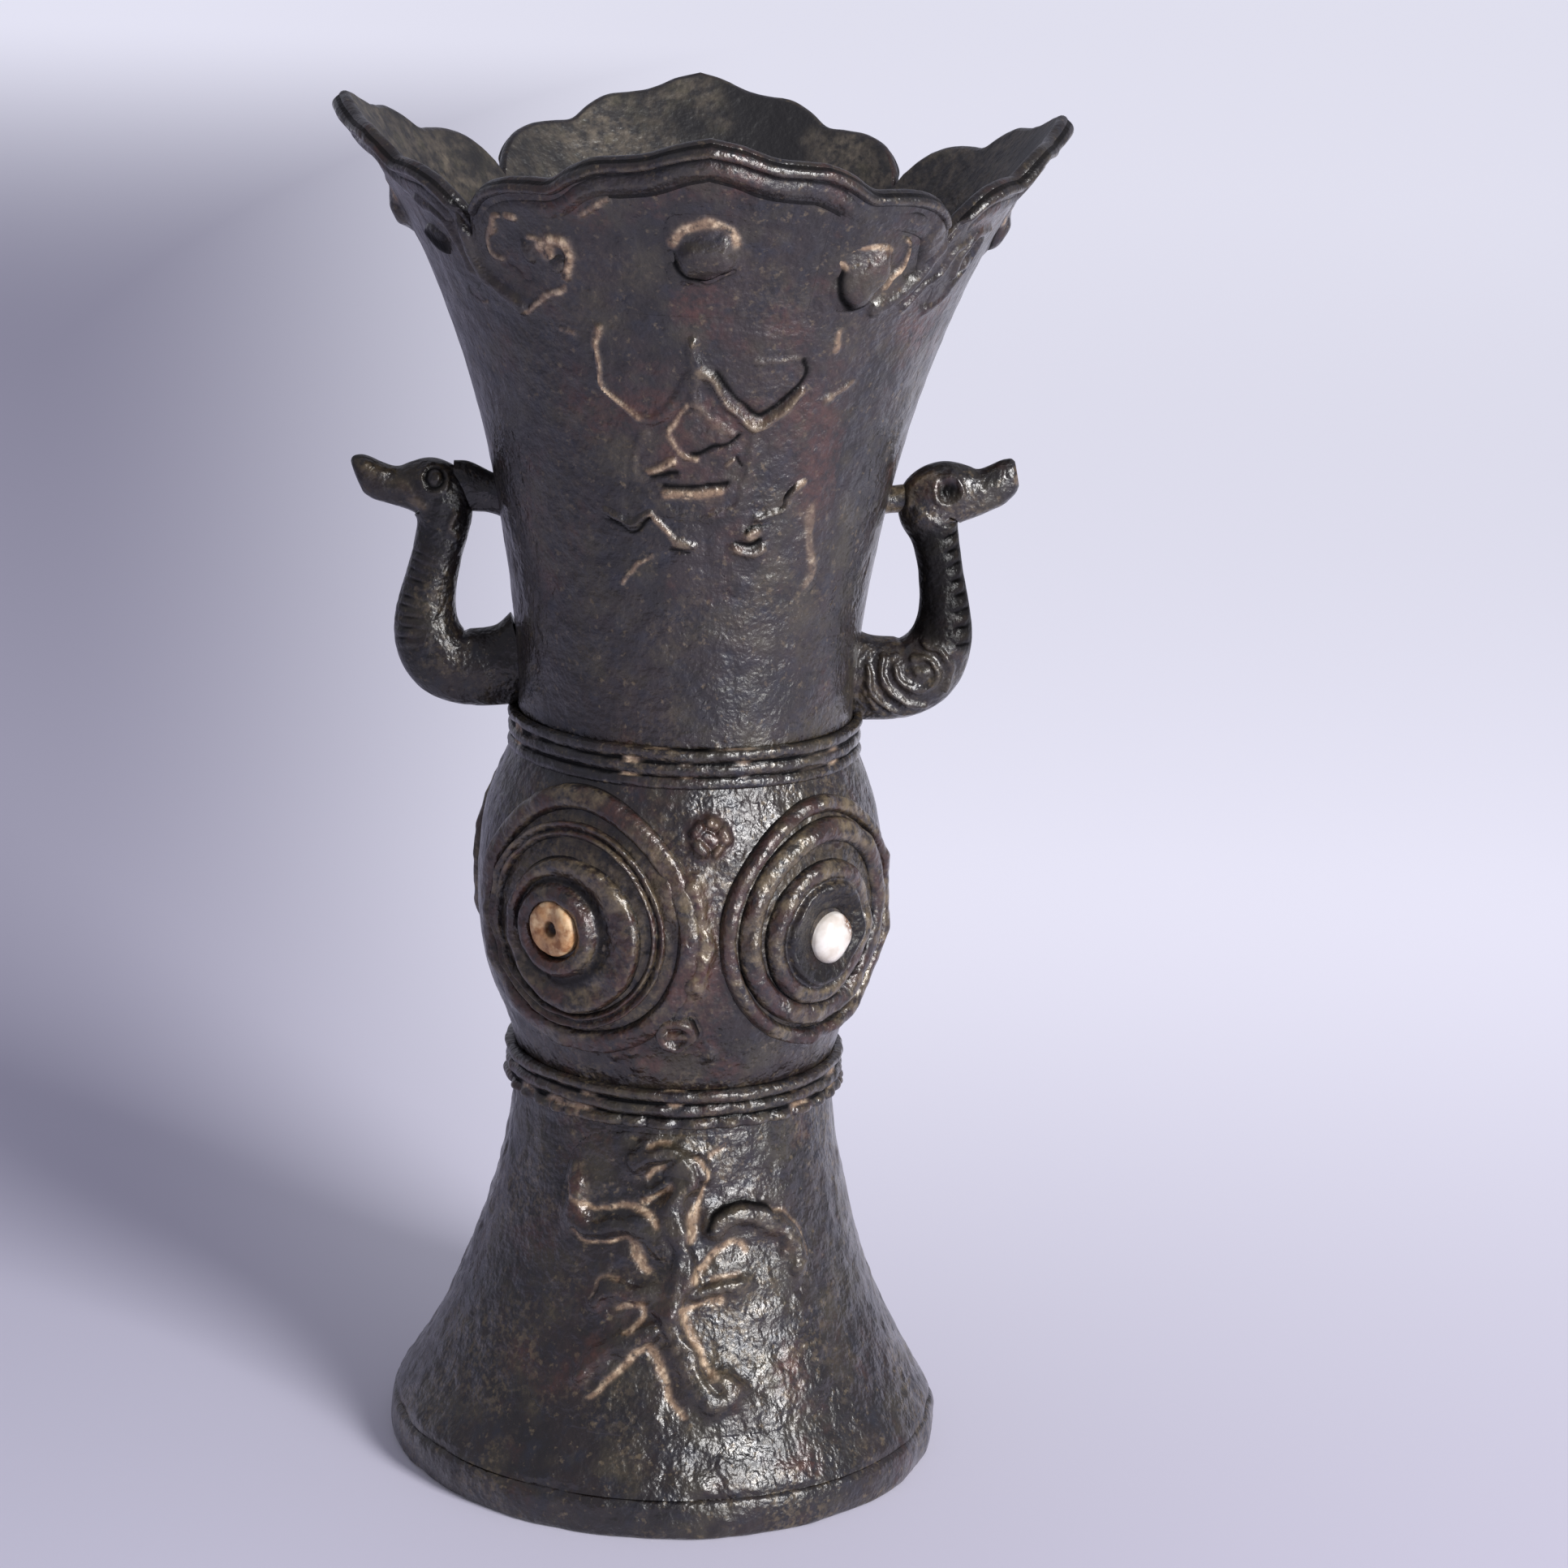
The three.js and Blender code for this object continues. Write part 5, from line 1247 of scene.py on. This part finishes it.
bird(
    "right_bird_handle", "right_bird", RIGHT_BIRD, 1, RIGHT_CUTS, spacing=2.9, rib_depth=0.65,
    rib_span=(20, 48), rib_turn=48, rib_reach=22, painted_rib_highlight=0.4, body_darkening=0.15, neck_darkening=0.85,
)
bird(
    "left_bird_handle", "left_bird", LEFT_BIRD, -1, LEFT_CUTS, spacing=1.7, rib_depth=0.4,
    rib_span=(20, 42), rib_turn=50, rib_reach=34, painted_rib_highlight=0, body_darkening=0.45, neck_darkening=0.4,
)

# Struts
# The real struts are short thick bars that hold the birds' heads to the wall. They were cast on after the
# handles, and khaki dust has stayed on the right one.


STRUT_HALF_WIDTH = 2.9
STRUT_IN_WALL = 1.8


def strut(name, node, side, heights, reach, half_heights, dusty):
    """A bar along X with an oval section, that swells by a third at the wall. Its heights above the knop's
    top and its half heights are those at the wall and at the bird."""
    share = np.linspace(0, 1, 36)[:, None]
    turns = turn_steps(56)[None]
    grown = ease(1.2 * share)
    level = KNOP_TOP + heights[0] + (heights[1] - heights[0]) * grown
    start = float(beaker_wall(KNOP_TOP + heights[0])) - STRUT_IN_WALL
    swell = 1 + 0.36 * (1 - share) ** 6
    x = start + (reach + STRUT_IN_WALL) * share
    y = STRUT_HALF_WIDTH * swell * np.cos(turns)
    z = level + (half_heights[0] + (half_heights[1] - half_heights[0]) * grown) * swell * np.sin(turns)
    places = np.stack(np.broadcast_arrays(x, y, z), -1)
    lift = 1.2 * skin(places, 1.0)
    places[..., 1] += lift * np.cos(turns)
    places[..., 2] += lift * np.sin(turns)
    spots = dusty * ease(0.7 + lumps(places, 2.5, 71))
    marks = {"rub": spots, "shade": np.full(spots.shape, 0.3 - 0.3 * dusty)}
    piece(name, capped(places * [side, 1, 1]), smooth_bronze, [node], marks)


strut("right_strut_bar", "right_strut", 1, (46.5, 46.9), 6.6, (2.5, 2.8), 1)
strut("left_strut_bar", "left_strut", -1, (45, 46.6), 8.6, (3.5, 4.9), 0)

# Floor
# The table under the vase is a wide sheet of pale lavender paper. A painted glow, seen by the camera and in
# reflections only, makes it lighter towards the right and the back, where the photograph's background
# brightens, and it keeps the vase's shadow.

paper, tree, shader, place = new_material("lavender_paper")
across_paper, depth_paper, _ = add_node(tree, "ShaderNodeSeparateXYZ", (), {"Vector": place}).outputs
rays = add_node(tree, "ShaderNodeLightPath").outputs
beside = add_node(tree, "ShaderNodeMath", {"operation": "ADD"}, {0: depth_paper, 1: 0.75}).outputs[0]
slant = add_node(tree, "ShaderNodeMath", {"operation": "DIVIDE"}, {0: across_paper, 1: beside}).outputs[0]
# Each ramp is eased from 0 at the first of its two places, in metres on the paper, to 1 at the second
ramps = ((slant, -0.16, 0.03), (depth_paper, -0.2, 0.45), (depth_paper, 1.3, 3.8), (depth_paper, 0.4, 2.5))
to_right, from_near, to_far, to_back = (
    add_node(
        tree,
        "ShaderNodeMapRange",
        {"interpolation_type": "SMOOTHSTEP"},
        {"Value": way, "From Min": low, "From Max": high},
    ).outputs[0]
    for way, low, high in ramps
)
brighter = {0: to_back, 1: 0.1, 2: 0.55}
strength = add_node(tree, "ShaderNodeMath", {"operation": "MULTIPLY_ADD"}, brighter).outputs[0]
seen = rays["Is Camera Ray"]
for ray in ("Is Glossy Ray", "Is Transmission Ray"):
    seen = add_node(tree, "ShaderNodeMath", {"operation": "MAXIMUM"}, {0: seen, 1: rays[ray]}).outputs[0]
# The painted glow stands in for paper lit from behind the vase, which the photograph shows everywhere but at
# its left
painted_glow = add_node(tree, "ShaderNodeMath", {"operation": "MAXIMUM"}, {0: to_right, 1: to_far}).outputs[0]
for factor in (from_near, seen, strength):
    painted_glow = add_node(tree, "ShaderNodeMath", {"operation": "MULTIPLY"}, {0: painted_glow, 1: factor}).outputs[0]
give(
    shader,
    {
        "Base Color": weathered("#dbd8ea", [("#cbc7d9", to_right)]),
        "Roughness": 0.9,
        "Emission Color": "#eff0f8",
        "Emission Strength": painted_glow,
    },
)
paper_size = 9000
corners = np.array([[-1, -1, 0], [1, -1, 0], [1, 1, 0], [-1, 1, 0]]) * paper_size * MM
floor_mesh = bpy.data.meshes.new("paper_sheet")
floor_mesh.from_pydata(corners.tolist(), [], [(0, 1, 2, 3)])
floor_mesh.materials.append(paper)
floor = bpy.data.objects.new("paper_sheet", floor_mesh)
bpy.context.scene.collection.objects.link(floor)

# Light and camera
# Soft lavender daylight all round, with two square lamps at the front right, a strong one above the vase
# and a weak one level with its beaker, which give the sparks on its dents and the soft shadow at its left.

world = bpy.data.worlds.new("daylight")
bpy.context.scene.world = world
world.use_nodes = True
give(world.node_tree.nodes["Background"], {"Color": "#e2e2f4", "Strength": 0.38})


def lamp(name, place, target, size, power):
    """A square area lamp that faces its target: its axis -Z is turned along the line between them."""
    data = bpy.data.lights.new(name, "AREA")
    data.size, data.energy = size, power
    obj = bpy.data.objects.new(name, data)
    obj.location = place
    aim = Vector(target) - Vector(place)
    obj.rotation_euler = aim.to_track_quat("-Z", "Y").to_euler()
    bpy.context.scene.collection.objects.link(obj)


MIDDLE_OF_VASE = (0, 0, 0.14)
lamp("high_lamp", (0.62, -0.7, 0.61), MIDDLE_OF_VASE, 0.3, 10)
lamp("low_lamp", (0.62, -0.72, 0.2), MIDDLE_OF_VASE, 0.3, 2.5)

CAMERA_PLACE = (-0.0130, -0.7487, 0.33713)
# Turn to the right, tilt down and roll, in radians
CAMERA_TURN, CAMERA_PITCH, CAMERA_ROLL = math.radians(2.5), math.radians(14.94), 0.0394
FRAME_WIDTH = 1932
forward = np.array(
    [
        math.sin(CAMERA_TURN) * math.cos(CAMERA_PITCH),
        math.cos(CAMERA_TURN) * math.cos(CAMERA_PITCH),
        -math.sin(CAMERA_PITCH),
    ]
)
level_right = np.array([math.cos(CAMERA_TURN), -math.sin(CAMERA_TURN), 0])
level_up = np.cross(level_right, forward)
right = level_right * math.cos(CAMERA_ROLL) + level_up * math.sin(CAMERA_ROLL)
up = level_up * math.cos(CAMERA_ROLL) - level_right * math.sin(CAMERA_ROLL)
camera_data = bpy.data.cameras.new("camera")
camera_data.lens, camera_data.sensor_width = 89.91, 36
camera_data.shift_x = 2 / FRAME_WIDTH
camera_data.clip_start, camera_data.clip_end = 0.05, 40
camera = bpy.data.objects.new("camera", camera_data)
pose = np.eye(4)
pose[:3, :3] = np.stack([right, up, -forward], -1)
pose[:3, 3] = CAMERA_PLACE
camera.matrix_world = Matrix(pose.tolist())
bpy.context.scene.collection.objects.link(camera)
bpy.context.scene.camera = camera
bpy.context.scene.view_settings.view_transform = "Standard"
